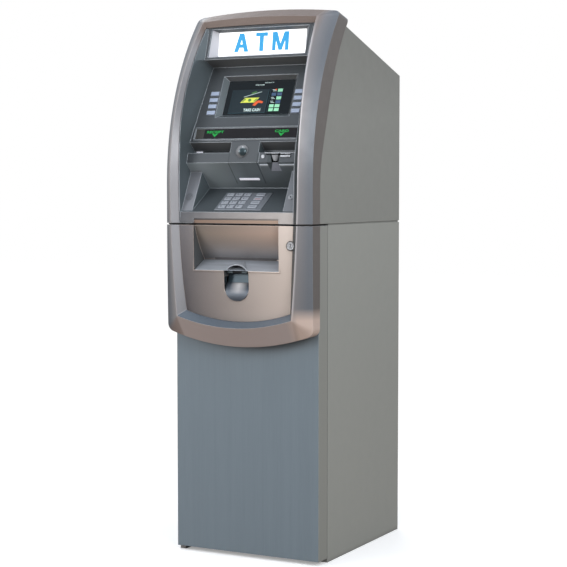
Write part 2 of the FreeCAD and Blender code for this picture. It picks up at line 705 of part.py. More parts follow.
def finger_notch(inset):
    """Notch whose floor starts deep under the card slot and runs out at the ledge's lower edge."""
    deep = -13.0 - inset
    side = [(-60.0, 1043.0), (deep, 1043.0), (deep, 1027.0), (deep + 6.0, 1002.0), (-60.0, 1002.0)]
    half_w = 12.5 - inset
    return slab(side, NOTCH_X - half_w, NOTCH_X + half_w)


def card_inlet_trim():
    """Bright nose over the finger notch, plate on the notch floor, edge bars and indicator stud."""
    nose = Part.makeCone(5.5, 12.0, 20.0, Vector(NOTCH_X, -22.0, 1029.0), Vector(0, -0.05, 1.0))
    nose = nose.common(box(NOTCH_X - 20, NOTCH_X + 20, -60, -20.0, 1020, 1050.2))
    nose = nose.cut(box(NOTCH_X - 20, NOTCH_X + 20, -60, -10, CARD_SLOT_Z - 1.4, CARD_SLOT_Z + 1.4))
    floor = slab([(-13.4, 1026.0), (-7.4, 1003.6), (-8.6, 1003.6), (-14.6, 1026.0)],
                 NOTCH_X - 12, NOTCH_X + 12)
    bars = [box(NOTCH_X + x0, NOTCH_X + x1, y, -18.0, z0, z1) for x0, x1, y, z0, z1 in
            ((-32.0, 66.0, -22.9, 1049.0, 1050.2), (16.0, 44.0, -28.2, 1038.5, 1043.2),
             (16.0, 44.0, -26.4, 1046.6, 1048.4))]
    stud = rod(4.5, (58.0, -28.5, 1040.0), (58.0, -18.0, 1040.0))
    face = slab(card_section(0.05), CARD_X0, CARD_X1)
    raised = [shape.cut(face) for shape in [stud] + bars]
    inside = nose.cut(face.cut(finger_notch(0.3)))
    return Part.makeCompound([s for shape in raised + [inside, floor] for s in shape.Solids])


def fascia_latch():
    """Sliding bolt that drops into the housing's floor to hold the fascia shut."""
    bolt = box(LATCH_X - 8, LATCH_X + 8, LATCH_Y - 4, LATCH_Y + 4, 876.0, 940.0)
    low = [e for e in bolt.Edges if max(v.Z for v in e.Vertexes) < 876.1]
    return bolt.makeChamfer(1.5, low)


# ================================================================ lower door
def lower_fascia_line():
    heights = [DOOR_Z1 - (DOOR_Z1 - 610.0) * i / 6 for i in range(7)]
    return [(inner_y(z), z) for z in heights]


def scoop_outline(x, low_gap):
    """U-shaped opening below the pocket, as a prism along Y."""
    z0 = SCOOP_MID_Z
    r = x
    left = Vector(-r, -120, SCOOP_TOP_Z + 8)
    right = Vector(r, -120, SCOOP_TOP_Z + 8)
    arc = Part.Arc(Vector(r, -120, z0), Vector(0, -120, z0 - r + low_gap), Vector(-r, -120, z0))
    edges = [Part.makeLine(left, right), Part.makeLine(right, Vector(r, -120, z0)), arc.toShape(),
             Part.makeLine(Vector(-r, -120, z0), left)]
    return Part.Face(Part.Wire(edges)).extrude(Vector(0, 119, 0))


def lower_fascia():
    """Lower front with the curved pocket liner and the U-shaped finger opening."""
    curve = Part.BSplineCurve()
    curve.interpolate([Vector(0, y, z) for y, z in lower_fascia_line()])
    front = curve.toShape()
    back = front.translated(Vector(0, PANEL_T, 0))
    first = Part.makeLine(front.valueAt(front.FirstParameter), back.valueAt(back.FirstParameter))
    last = Part.makeLine(front.valueAt(front.LastParameter), back.valueAt(back.LastParameter))
    skin = extrude_x(Part.Face(Part.Wire([front, last, back, first])), -BIG / 4, BIG / 4)
    skin = skin.common(inner_prism(0.3, -120, 0))
    liner = pocket_space(POCKET_X + 3)
    liner.translate(Vector(0, 3.2, -3))
    liner = liner.common(box(-BIG, BIG, -66, -1, 0, DOOR_Z1))
    body = skin.fuse(liner).cut([pocket_space(POCKET_X), scoop_outline(SCOOP_X, 0.0)])
    body = body.common(box(-BIG, BIG, -BIG, BIG, 0, DOOR_Z1))
    pocket_floor = slab([(-61.0, 735.0), (-61.0, 749.2), (POCKET_BACK[0], 772.8), (POCKET_BACK[0], 735.0)],
                        -POCKET_X, POCKET_X)
    body = body.fuse(pocket_floor)
    body = body.cut([scoop_outline(SCOOP_X, 0.0), note_slot(), lock_hole(LOCK_RING_R + 0.1, -100, -65.2),
                     lock_hole(8.8, -100, 0)])
    return max(body.Solids, key=lambda s: s.Volume)


def note_slot():
    return box(-90.0, 90.0, -40.0, 60.0, POCKET_BACK[1] - 1.5, POCKET_BACK[1] + 4.5)


def pocket_window():
    """Opening of the door pan behind the cash pocket."""
    return box(-POCKET_X - 4, POCKET_X + 4, DOOR_Y - 5, DOOR_Y + DOOR_T + 1, 734.0, 800.0)


def lock_hole(radius, y0, y1):
    return rod(radius, (LOCK_X, y0, LOCK_Z), (LOCK_X, y1, LOCK_Z))


def cash_tray():
    """Brushed tray floor with a raised arch over the finger opening."""
    x = POCKET_X - 0.5
    back = (POCKET_BACK[0] - 1.0, POCKET_BACK[1] - 2.2)
    front = (TRAY_FRONT[0], TRAY_FRONT[1] + 1.2)
    line = [back, front]
    plate = slab(line + list(reversed(offset_line(line, 2.0))), -x, x)
    rest = TRAY_FRONT[1] + 0.1
    lip = slab([front, (front[0] - 2.4, rest), (front[0] + 1.5, rest), (front[0] + 3, front[1])], -x, x)
    hump = arch(34.0, 17.0)
    void = arch(31.0, 14.5)
    above = slab([(back[0], back[1]), front, (front[0], front[1] + 40), (back[0], back[1] + 40)], -x, x)
    tray = plate.fuse(lip).cut(void).fuse(hump.common(above).cut(void))
    return tray.cut(box(-BIG, BIG, -80, -57, 700, rest)).removeSplitter()


def arch(half_w, height):
    """Half cone that rises out of the tray's front edge and dies out towards the back."""
    wires = []
    for y, z, scale in ((TRAY_FRONT[0] - 2, TRAY_FRONT[1] - 1, 1.0), (-24.0, 770.0, 0.12)):
        a = Vector(-half_w * scale, y, z)
        b = Vector(half_w * scale, y, z)
        curve = Part.Arc(a, Vector(0, y, z + height * scale), b).toShape()
        wires.append(Part.Wire([curve, Part.makeLine(b, a)]))
    return Part.makeLoft(wires, True)


def finger_scoop():
    """Bright scoop in the finger opening: a flat ledge above a bulging lower shell."""
    curve = Part.Arc(Vector(0, -60.5, 671.0), Vector(0, -58.5, 700.0), Vector(0, -46.0, 719.0)).toShape()
    points = [Vector(0, -46, 719), Vector(0, -42, 719.0), Vector(0, -38, 741), Vector(0, -35, 741),
              Vector(0, -35, 668), Vector(0, -60.5, 668), Vector(0, -60.5, 671)]
    lines = [Part.makeLine(a, b) for a, b in zip(points, points[1:])]
    body = extrude_x(Part.Face(Part.Wire([curve] + lines)), -SCOOP_X, SCOOP_X)
    body = body.common(scoop_outline(SCOOP_X - 0.3, 0.0))
    return max(body.Solids, key=lambda s: s.Volume)


def door_panel():
    """Folded door pan with returned edges, bolt guides and pivot holes."""
    pan = box(-CAB_HALF_W, CAB_HALF_W, DOOR_Y, DOOR_Y + DOOR_D, DOOR_Z0, DOOR_Z1)
    upright = [e for e in pan.Edges if e.BoundBox.ZLength > 100 and e.BoundBox.YMax < DOOR_Y + 0.1]
    pan = pan.makeFillet(2.0, upright)
    inner_face = DOOR_Y + DOOR_T
    inside = CAB_HALF_W - DOOR_T
    pan = pan.cut(box(-inside, inside, inner_face, BIG, DOOR_Z0 + DOOR_T, DOOR_Z1 - DOOR_T))
    extras = []
    for z in BOLT_HEIGHTS:
        extras.append(box(171.0, 175.0, inner_face, BOLT_Y + 9, z - 10, z + 10))
    for z in (150.0, 400.0, 560.0):
        extras.append(box(-180.0, 180.0, inner_face, 15.0, z, z + 4.0))
    pan = pan.fuse(extras)
    holes = [pocket_window(), lock_hole(8.8, -20, 60)]
    holes += [rod(BOLT_R + RUN_FIT, (160, BOLT_Y, z), (185, BOLT_Y, z)) for z in BOLT_HEIGHTS]
    for z0, z1 in ((DOOR_Z0 - 5, 30), (840, 900)):
        holes.append(rod(PIVOT_R + RUN_FIT, (DOOR_AXIS_X, DOOR_AXIS_Y, z0), (DOOR_AXIS_X, DOOR_AXIS_Y, z1)))
    return pan.cut(holes)


def lock_escutcheon():
    ring_body = lock_hole(LOCK_RING_R, -70.5, -65.3).cut(lock_hole(8.7, -80, -60))
    rim = [e for e in ring_body.Edges if e.BoundBox.YMax < -70.4 and e.BoundBox.ZLength > 20]
    return ring_body.makeChamfer(1.2, rim)


def lock_cylinder():
    """Key cylinder with its keyway, running through the door to the cam behind it."""
    body = lock_hole(LOCK_R, -70.0, JAMB_Y - 2.0)
    keyway = box(LOCK_X - 0.9, LOCK_X + 0.9, -80, -58, LOCK_Z - 4.5, LOCK_Z + 4.5)
    cam = box(LOCK_X - 7, LOCK_X + 7, JAMB_Y - 8.0, JAMB_Y - 4.0, LOCK_Z - 34, LOCK_Z)
    return body.cut(keyway).fuse(cam)


def bolt_bar():
    """Locking bar behind the door with its three round bolts."""
    bar = box(142.0, 155.5, BOLT_Y - 4, BOLT_Y + 4, BOLT_HEIGHTS[0] - 16, BOLT_HEIGHTS[-1] + 16)
    bolts = [rod(BOLT_R, (150, BOLT_Y, z), (186, BOLT_Y, z)) for z in BOLT_HEIGHTS]
    return fuse_all([bar] + bolts)


# ================================================================ cabinet
def safe_body():
    """Steel safe: folded shell, door frame, thick base with anchor holes."""
    shell = box(-CAB_HALF_W, CAB_HALF_W, JAMB_Y, CAB_D, 0, SEAM_Z)
    inside = CAB_HALF_W - SAFE_WALL
    shell = shell.cut(box(-inside, inside, JAMB_Y + JAMB_T, CAB_D - SAFE_WALL, BASE_T, SEAM_Z - SAFE_WALL))
    shell = shell.cut(box(-JAMB_OPEN_X, JAMB_OPEN_X, 0, 60, JAMB_OPEN_Z0, JAMB_OPEN_Z1))
    holes = []
    for x in (-ANCHOR_X, ANCHOR_X):
        for y in (-ANCHOR_Y, ANCHOR_Y):
            holes.append(rod(ANCHOR_R, (x, CAB_D / 2 + y, -5), (x, CAB_D / 2 + y, 20)))
    holes.append(rod(30.0, (-120, 400, 850), (-120, 400, 880)))
    holes.append(rod(CONDUIT_R, (CONDUIT_X, 470, CONDUIT_Z), (CONDUIT_X, 500, CONDUIT_Z)))
    return shell.cut(holes)


def housing_section(inset, front_extra):
    """Side view of the upper housing, following the bezel's rear edge."""
    steps = 12
    z0 = HOUSING_Z + inset
    top = HOUSING_TOP_Z - inset
    heights = [z0 + (top - z0) * i / steps for i in range(steps + 1)]
    curve = Part.BSplineCurve()
    curve.interpolate([Vector(0, rear_y(z) + 1.5 - front_extra, z) for z in heights])
    front = curve.toShape()
    start = front.valueAt(front.FirstParameter)
    end = front.valueAt(front.LastParameter)
    back = CAB_D - inset
    points = [end, Vector(0, back, HOUSING_BACK_Z - 1.2 * inset), Vector(0, back, z0), start]
    lines = [Part.makeLine(a, b) for a, b in zip(points, points[1:])]
    return Part.Face(Part.Wire([front] + lines))


def upper_housing():
    """Folded sheet housing of the upper half, open at the front, with a stepped plinth."""
    shell = extrude_x(housing_section(0.0, 0.0), -CAB_HALF_W, CAB_HALF_W)
    inside = CAB_HALF_W - HOUSING_WALL
    shell = shell.cut(extrude_x(housing_section(HOUSING_WALL, 40.0), -inside, inside))
    shell = shell.cut(box(-160, 160, 80, 430, 860, 880))
    step = CAB_HALF_W - PLINTH_INSET
    plinth = box(-step, step, JAMB_Y + 7, CAB_D - PLINTH_INSET, SEAM_Z, HOUSING_Z)
    plinth = plinth.cut(box(-step + 14, step - 14, JAMB_Y + 21, CAB_D - PLINTH_INSET - 14, 860, 880))
    shell = shell.fuse(plinth)
    slots = []
    for row in (1120.0, 1180.0):
        for i in range(11):
            x = -75.0 + 15.0 * i
            slots.append(box(x - 3, x + 3, 470, 500, row, row + 42.0))
    slots.append(box(INLET_X - 17.2, INLET_X + 17.2, 470, 500, INLET_Z - 22.2, INLET_Z + 22.2))
    slots.append(box(LATCH_X - 9, LATCH_X + 9, LATCH_Y - 5, LATCH_Y + 5, 865, 880))
    slots += [rod(SCREW_R, (x, 470, z), (x, 500, z)) for x, z in screw_places()]
    return shell.cut(slots)


def door_pin(z0, z1):
    return rod(PIVOT_R, (DOOR_AXIS_X, DOOR_AXIS_Y, z0), (DOOR_AXIS_X, DOOR_AXIS_Y, z1))


def hinge_brackets():
    """Fixed half of both hinges: two roof brackets for the fascia, two pivots for the door."""
    solids = []
    roof = (HOUSING_BACK_Z - HOUSING_TOP_Z) / (CAB_D - rear_y(HOUSING_TOP_Z) - 1.5)

    def roof_z(y):
        return HOUSING_TOP_Z + roof * (y - rear_y(HOUSING_TOP_Z) - 1.5) + 0.05

    for side in (-1, 1):
        x = side * FLIP_X
        arm = slab([(FLIP_Y - 5, FLIP_Z - 4), (FLIP_Y - 5, FLIP_Z + 5), (FLIP_Y + 5, FLIP_Z + 6),
                    (176, roof_z(176) + 9), (176, roof_z(176)), (158, roof_z(158)), (150, FLIP_Z - 12)],
                   x - 3, x + 3)
        foot = slab([(158, roof_z(158)), (200, roof_z(200)), (200, roof_z(200) + 3), (158, roof_z(158) + 3)],
                    x - 14, x + 14)
        pin = rod(PIVOT_R, (x - 10, FLIP_Y, FLIP_Z), (x + 10, FLIP_Y, FLIP_Z))
        solids.append(fuse_all([arm, foot, pin]))
    upper = box(-209.0, -192.0, 1.0, JAMB_Y + 6, SEAM_Z, SEAM_Z + 3.0)
    upper = upper.fuse(door_pin(852.0, SEAM_Z + 1))
    lower = box(-209.0, -192.0, 1.0, JAMB_Y, 0.0, 10.0)
    lower = lower.fuse(door_pin(5.0, 22.0))
    return Part.makeCompound(solids + [upper, lower])


def strike_plate():
    plate = box(JAMB_OPEN_X, CAB_HALF_W - SAFE_WALL - 1, JAMB_Y + JAMB_T, JAMB_Y + JAMB_T + 2.5,
                BOLT_HEIGHTS[0] - 30, BOLT_HEIGHTS[-1] + 25)
    return plate


def control_computer():
    """Main computer on the housing floor, with its connector row."""
    case = box(-190.0, 60.0, 300.0, 470.0, HOUSING_Z + HOUSING_WALL, HOUSING_Z + 84.0)
    case = case.makeFillet(3.0, [e for e in case.Edges if e.BoundBox.ZLength > 50])
    case = case.cut(box(-188.0, 58.0, 302.0, 468.0, HOUSING_Z, HOUSING_Z + 82.0))
    plugs = [box(-170.0 + 45.0 * i, -140.0 + 45.0 * i, 292.0, 300.0, 900.0, 914.0) for i in range(5)]
    return fuse_all([case] + plugs)


def power_inlet():
    """Mains socket in the back wall, with the switch opening above it."""
    flange = box(INLET_X - 22, INLET_X + 22, CAB_D, CAB_D + 2.0, INLET_Z - 27, INLET_Z + 27)
    body = box(INLET_X - 17, INLET_X + 17, 440.0, CAB_D, INLET_Z - 22, INLET_Z + 22)
    socket = box(INLET_X - 12, INLET_X + 12, 465.0, 500.0, INLET_Z - 18, INLET_Z - 1)
    window = box(INLET_X - 11, INLET_X + 11, 466.0, 500.0, INLET_Z + 4, INLET_Z + 19)
    pins = [box(INLET_X + dx - 1, INLET_X + dx + 1, 465.0, 480.0, INLET_Z + dz - 2.5, INLET_Z + dz + 2.5)
            for dx, dz in ((-7, -11), (7, -11), (0, -8))]
    return fuse_all([flange.fuse(body).cut([socket, window])] + pins)


def power_rocker():
    """Rocker of the mains switch, resting with its lower half pressed in."""
    rocker = rod(13.0, (INLET_X - 10.5, 476.0, SWITCH_Z), (INLET_X + 10.5, 476.0, SWITCH_Z))
    rocker = rocker.common(box(INLET_X - 20, INLET_X + 20, 474, 500, SWITCH_Z - 5.2, SWITCH_Z + 5.2))
    dish = rod(22.0, (INLET_X - 20, 507.5, SWITCH_Z), (INLET_X + 20, 507.5, SWITCH_Z))
    rocker = rocker.cut(dish)
    rocker.rotate(Vector(INLET_X, 476.0, SWITCH_Z), Vector(1, 0, 0), ROCKER_TILT)
    return rocker


def screw_places():
    return [(x, z) for x in (-195.0, 0.0, 195.0) for z in (890.0, 1080.0, 1255.0)]


def housing_screws():
    solids = []
    for x, z in screw_places():
        head = rod(4.5, (x, CAB_D, z), (x, CAB_D + 2.2, z))
        head = head.makeFillet(1.2, [e for e in head.Edges if e.BoundBox.YMin > CAB_D + 2.1])
        screw = head.fuse(rod(SCREW_R - 0.05, (x, CAB_D - 10, z), (x, CAB_D + 0.5, z)))
        screw = screw.cut(box(x - 3, x + 3, CAB_D + 1.2, CAB_D + 5, z - 0.5, z + 0.5))
        solids.append(screw.cut(box(x - 0.5, x + 0.5, CAB_D + 1.2, CAB_D + 5, z - 3, z + 3)))
    return Part.makeCompound([s for screw in solids for s in screw.Solids])


# ================================================================ dispenser
def dispenser_frame():
    """Side plates, shelves and rollers' bearings of the note dispenser."""
    outline = [(14, 756), (14, 802), (90, 802), (140, 835), (440, 835),
               (440, 484), (90, 484), (90, 640), (60, 700)]
    parts = []
    for side in (-1, 1):
        x = side * DISP_HALF_W
        parts.append(slab(outline, min(x, x - side * DISP_WALL), max(x, x - side * DISP_WALL)))
    inner = DISP_HALF_W - DISP_WALL
    parts.append(box(-inner, inner, 92, 440, 484, 490))
    parts.append(box(-inner, inner, 92, 440, 632, 636))
    parts.append(box(-inner, inner, 437, 440, 490, 835))
    parts.append(hollow_box(-inner, inner, 150, 430, 640, 700, 2.0))
    parts.append(hollow_box(-inner, inner, 120, 300, 730, 800, 2.0))
    feet = [hollow_box(x - 12, x + 12, 120, 420, BASE_T, 484, 2.0) for x in (-90.0, 90.0)]
    frame = fuse_all(parts + feet)
    holes = [rod(ROLLER_SHAFT_R + RUN_FIT, (-120, ROLLER_Y, z), (120, ROLLER_Y, z))
             for z in (DRIVE_Z, IDLER_Z)]
    return frame.cut(holes)


def exit_roller(z):
    """Shaft with four rubber-tyred rollers that carry the notes out to the door."""
    pieces = [rod(ROLLER_SHAFT_R, (-DISP_HALF_W - 5, ROLLER_Y, z), (DISP_HALF_W + 5, ROLLER_Y, z))]
    for x in (-75.0, -25.0, 25.0, 75.0):
        pieces.append(rod(ROLLER_R, (x - 9, ROLLER_Y, z), (x + 9, ROLLER_Y, z)))
    return fuse_all(pieces)


def cassette():
    """Lockable note box with its carrying handle at the front."""
    case = box(-97.0, 97.0, 84.0, 425.0, 492.0, 628.0)
    case = case.makeFillet(5.0, [e for e in case.Edges if e.BoundBox.YLength > 300])
    case = case.cut(box(-92.0, 92.0, 89.0, 420.0, 497.0, 623.0))
    handle = box(-50.0, 50.0, 62.0, 84.5, 585.0, 600.0).cut(box(-40.0, 40.0, 68.0, 84.0, 580.0, 610.0))
    latch = rod(8.0, (60, 80, 540), (60, 86, 540))
    return fuse_all([case, handle, latch])


# ================================================================ output
def save(shape, name):
    moved = shape.translated(Vector(0, -CAB_D / 2, 0))
    moved.exportStep("parts/" + name + ".step")


def pieces():
    yield "safe_body", safe_body()
    yield "upper_housing", upper_housing()
    yield "hinge_brackets", hinge_brackets()
    yield "strike_plate", strike_plate()
    yield "dispenser_frame", dispenser_frame()
    yield "cassette", cassette()
    yield "exit_roller_drive", exit_roller(DRIVE_Z)
    yield "exit_roller_idler", exit_roller(IDLER_Z)
    yield "control_computer", control_computer()
    yield "power_inlet", power_inlet()
    yield "power_rocker", power_rocker()
    yield "housing_screws", housing_screws()
    yield "upper_bezel", upper_bezel()
    yield "fascia_panel", fascia_panel()
    yield "sign_box", sign_box()
    yield "sign_lens", sign_lens()
    yield "display_glass", display_glass()
    yield "display_module", display_module()
    yield "status_strip", status_strip()
    yield "camera_dome", camera_dome()
    yield "keypad_light", keypad_light()
    yield "receipt_printer", receipt_printer()
    yield "paper_roll", paper_roll()
    yield "card_reader", card_reader()
    yield "card_inlet_trim", card_inlet_trim()
    yield "keypad_plate", keypad_plate()
    yield "audio_jack", audio_jack()
    yield "fascia_latch", fascia_latch()
    numbers, functions = keypad_places()
    for i, (x, row, width) in enumerate(numbers):
        yield "pad_key_%d" % (i + 1), pad_key(x, row, width)
    for i, (x, row, width) in enumerate(functions):
        yield "function_key_%d" % (i + 1), pad_key(x, row, width)
    for i, (x, row) in enumerate(soft_key_places()):
        yield "screen_key_%d" % (i + 1), soft_key(x, row)
    yield "door_panel", door_panel()
    yield "lower_bezel", lower_bezel()
    yield "lower_fascia", lower_fascia()
    yield "cash_tray", cash_tray()
    yield "finger_scoop", finger_scoop()
    yield "lock_escutcheon", lock_escutcheon()
    yield "lock_cylinder", lock_cylinder()
    yield "bolt_bar", bolt_bar()


os.makedirs("parts", exist_ok=True)
for node, piece in pieces():
    save(piece, node)
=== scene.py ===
import json
import math

import bpy
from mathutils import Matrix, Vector


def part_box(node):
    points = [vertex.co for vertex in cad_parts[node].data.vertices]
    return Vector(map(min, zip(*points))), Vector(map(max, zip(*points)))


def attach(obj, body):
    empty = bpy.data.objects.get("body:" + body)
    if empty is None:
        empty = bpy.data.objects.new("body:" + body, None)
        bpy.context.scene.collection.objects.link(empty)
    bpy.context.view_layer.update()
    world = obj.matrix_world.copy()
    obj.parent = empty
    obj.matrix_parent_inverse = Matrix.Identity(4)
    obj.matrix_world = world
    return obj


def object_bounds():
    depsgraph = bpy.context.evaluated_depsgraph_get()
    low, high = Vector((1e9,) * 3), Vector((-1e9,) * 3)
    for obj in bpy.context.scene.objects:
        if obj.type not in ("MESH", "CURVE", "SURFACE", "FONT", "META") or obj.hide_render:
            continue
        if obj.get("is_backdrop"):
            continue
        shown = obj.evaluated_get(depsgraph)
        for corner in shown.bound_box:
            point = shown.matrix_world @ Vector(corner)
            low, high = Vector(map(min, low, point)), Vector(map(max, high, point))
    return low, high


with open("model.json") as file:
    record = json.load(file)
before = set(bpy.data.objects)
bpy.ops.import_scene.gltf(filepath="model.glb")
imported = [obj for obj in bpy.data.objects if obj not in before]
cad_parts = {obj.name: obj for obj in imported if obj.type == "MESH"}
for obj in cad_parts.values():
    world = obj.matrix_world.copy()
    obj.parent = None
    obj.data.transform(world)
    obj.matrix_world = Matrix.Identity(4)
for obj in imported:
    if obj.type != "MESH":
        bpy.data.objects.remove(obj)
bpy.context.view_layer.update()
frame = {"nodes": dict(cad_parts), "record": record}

# Looks of a free-standing cash machine.  Everything is in metres, in the CAD frame:
# X to the right, -Y towards the user, Z up.
NODES = frame["nodes"]
BODY_OF = {n: b for b, ns in frame["record"]["behaviour"]["bodies"].items() for n in ns}
MM = 0.001
SEAM_Z = 0.868            # seam between the two halves
BAND_TOP_Z = 0.899        # upper edge of the band over the cash pocket
SHARP = math.radians(28)  # edges that turn more than this stay sharp
SLOT_WALL_Y = -0.2306     # back wall of the shelf over the receipt slot
LEDGE_EDGE = (-0.2735, 1.0251)      # y and z of the ledge's lower front edge
LEDGE_FRONT_SLOPE = 0.363           # change of y per z on the ledge's front face
LEDGE_UNDER_SLOPE = -0.937          # and on its underside
CREST_MID_Z = 1.02        # height at which the bezel's crest stands furthest out,
CREST_HALF = 0.185        # how far out it is there,
CREST_CURVE = 0.123       # how fast it comes in above and below,
OUTER_HALF = 0.211        # and where the bezel's front ends
LETTER_DEPTH = 0.15       # thickness of lettering in millimetres
TILE_PITCH = 11.2         # between rows of the screen picture, in millimetres
FOCAL_PX = 1552.34        # focal length for a picture FRAME_PX wide
FRAME_PX = 567


def srgb(r, g, b):
    """Linear colour from 0-255 display values."""
    def one(c):
        c = c / 255
        return c / 12.92 if c <= 0.04045 else ((c + 0.055) / 1.055) ** 2.4
    return (one(r), one(g), one(b), 1.0)


# ------------------------------------------------------------------ node materials
class Paint:
    """A node material with one Principled shader and helpers that add to it."""

    def __init__(self, name):
        self.mat = bpy.data.materials.new(name)
        self.mat.use_nodes = True
        self.tree = self.mat.node_tree
        self.tree.nodes.clear()
        self.out = self.tree.nodes.new("ShaderNodeOutputMaterial")
        self.bsdf = self.tree.nodes.new("ShaderNodeBsdfPrincipled")
        self.tree.links.new(self.bsdf.outputs[0], self.out.inputs[0])
        self.object_space = self.tree.nodes.new("ShaderNodeTexCoord").outputs["Object"]

    def node(self, kind, **settings):
        made = self.tree.nodes.new(kind)
        for key, value in settings.items():
            setattr(made, key, value)
        return made

    def feed(self, socket, value):
        if isinstance(value, bpy.types.NodeSocket):
            self.tree.links.new(value, socket)
        else:
            socket.default_value = value

    def set(self, **values):
        names = {"color": "Base Color", "metallic": "Metallic", "rough": "Roughness", "normal": "Normal",
                 "coat": "Coat Weight", "coat_rough": "Coat Roughness", "glow": "Emission Color",
                 "glow_power": "Emission Strength", "specular": "Specular IOR Level"}
        for key, value in values.items():
            self.feed(self.bsdf.inputs[names[key]], value)

    def stretch(self, x, y, z):
        made = self.node("ShaderNodeVectorMath", operation="MULTIPLY")
        self.feed(made.inputs[0], self.object_space)
        made.inputs[1].default_value = (x, y, z)
        return made.outputs[0]

    def noise(self, scale, detail=3.0, rough=0.5, vector=None, distortion=0.0):
        made = self.node("ShaderNodeTexNoise")
        self.feed(made.inputs["Vector"], vector or self.object_space)
        made.inputs["Scale"].default_value = scale
        made.inputs["Detail"].default_value = detail
        made.inputs["Roughness"].default_value = rough
        made.inputs["Distortion"].default_value = distortion
        return made.outputs["Fac"]

    def cells(self, scale):
        made = self.node("ShaderNodeTexVoronoi")
        self.feed(made.inputs["Vector"], self.object_space)
        made.inputs["Scale"].default_value = scale
        return made.outputs["Color"]

    def calc(self, operation, a, b=0.0, clamp=False):
        made = self.node("ShaderNodeMath", operation=operation, use_clamp=clamp)
        self.feed(made.inputs[0], a)
        self.feed(made.inputs[1], b)
        return made.outputs[0]

    def span(self, value, low, high, to_low=0.0, to_high=1.0):
        made = self.node("ShaderNodeMapRange")
        self.feed(made.inputs[0], value)
        for i, v in enumerate((low, high, to_low, to_high)):
            self.feed(made.inputs[i + 1], v)
        return made.outputs[0]

    def mix(self, factor, a, b, mode="MIX"):
        made = self.node("ShaderNodeMix", data_type="RGBA", blend_type=mode)
        made.clamp_factor = True
        self.feed(made.inputs["Factor"], factor)
        self.feed(made.inputs[6], a)
        self.feed(made.inputs[7], b)
        return made.outputs[2]

    def axis(self, vector, index):
        made = self.node("ShaderNodeSeparateXYZ")
        self.feed(made.inputs[0], vector)
        return made.outputs[index]

    def place(self, index):
        """One coordinate of the point being shaded: 0 for x, 1 for y, 2 for z."""
        return self.axis(self.object_space, index)

    def facing(self):
        """Surface normal in the object's own space."""
        source = self.node("ShaderNodeNewGeometry").outputs["Normal"]
        turned = self.node("ShaderNodeVectorTransform", vector_type="NORMAL")
        turned.convert_from = "WORLD"
        turned.convert_to = "OBJECT"
        self.feed(turned.inputs[0], source)
        return turned.outputs[0]

    def round_edges(self, radius):
        made = self.node("ShaderNodeBevel", samples=6)
        made.inputs["Radius"].default_value = radius
        return made.outputs[0]

    def edge_mask(self, radius, gain=2.5):
        """1 near sharp edges and 0 on open surfaces."""
        soft = self.round_edges(radius)
        plain = self.node("ShaderNodeNewGeometry").outputs["Normal"]
        dot = self.node("ShaderNodeVectorMath", operation="DOT_PRODUCT")
        self.feed(dot.inputs[0], soft)
        self.feed(dot.inputs[1], plain)
        return self.calc("MULTIPLY", self.calc("SUBTRACT", 1.0, dot.outputs["Value"]), gain, clamp=True)

    def relief(self, height, strength, distance, normal):
        made = self.node("ShaderNodeBump")
        made.inputs["Strength"].default_value = strength
        made.inputs["Distance"].default_value = distance
        self.feed(made.inputs["Height"], height)
        self.feed(made.inputs["Normal"], normal)
        return made.outputs[0]

    def shade(self, distance):
        """Ambient occlusion, 1 in the open and lower in corners."""
        made = self.node("ShaderNodeAmbientOcclusion", samples=6)
        made.inputs["Distance"].default_value = distance
        return made.outputs["AO"]


def scaled(color, factor):
    return tuple(min(1.0, c * factor) for c in color[:3]) + (1.0,)


def moulding(name, color, metallic=0.0, rough=0.4, grain=900.0, grain_depth=0.00002, edge=0.0008,
             edge_highlight=1.6, flake=0.0, hollow_shade=0.5, hollow_size=0.03, coat=0.0, tint=None, cloudy=0.05,
             edge_gain=2.5, side_edges=1.0):
    """Moulded or painted part: fine grain, cloudy colour, a painted highlight along sharp edges and painted
    shade in corners.

    tint(paint, colour) may shift the colour by place or by facing direction.  side_edges is how much of the
    painted edge highlight is kept on faces that look sideways.
    """
    p = Paint(name)
    cloud = p.noise(9.0, 4.0)
    base = p.mix(p.span(cloud, 0.3, 0.7), scaled(color, 1 - cloudy), scaled(color, 1 + cloudy))
    if tint:
        base = tint(p, base)
    if flake:
        speck = p.axis(p.cells(3200.0), 0)
        base = p.mix(p.span(speck, 0.72, 1.0, 0.0, flake), base, scaled(color, 1.8))
    # painted shade: darker where ambient occlusion finds corners
    base = p.mix(p.span(p.shade(hollow_size), 0.15, 0.95, hollow_shade, 0.0), base, scaled(color, 0.12))
    # painted highlight: lighter colour along sharp edges, less of it on faces that look sideways
    sideways = p.calc("ABSOLUTE", p.axis(p.facing(), 0))
    edges = p.calc("MULTIPLY", p.edge_mask(edge, edge_gain), p.span(sideways, 0.7, 0.9, 1.0, side_edges))
    base = p.mix(edges, base, scaled(color, edge_highlight))
    fine = p.noise(grain, 2.0, 0.6)
    worn = p.noise(35.0, 5.0, 0.65)
    roughness = p.span(worn, 0.3, 0.75, rough - 0.05, rough + 0.07)
    p.set(color=base, metallic=metallic, rough=roughness, coat=coat, coat_rough=0.2,
          normal=p.relief(fine, 0.5, grain_depth, p.round_edges(edge)))
    return p


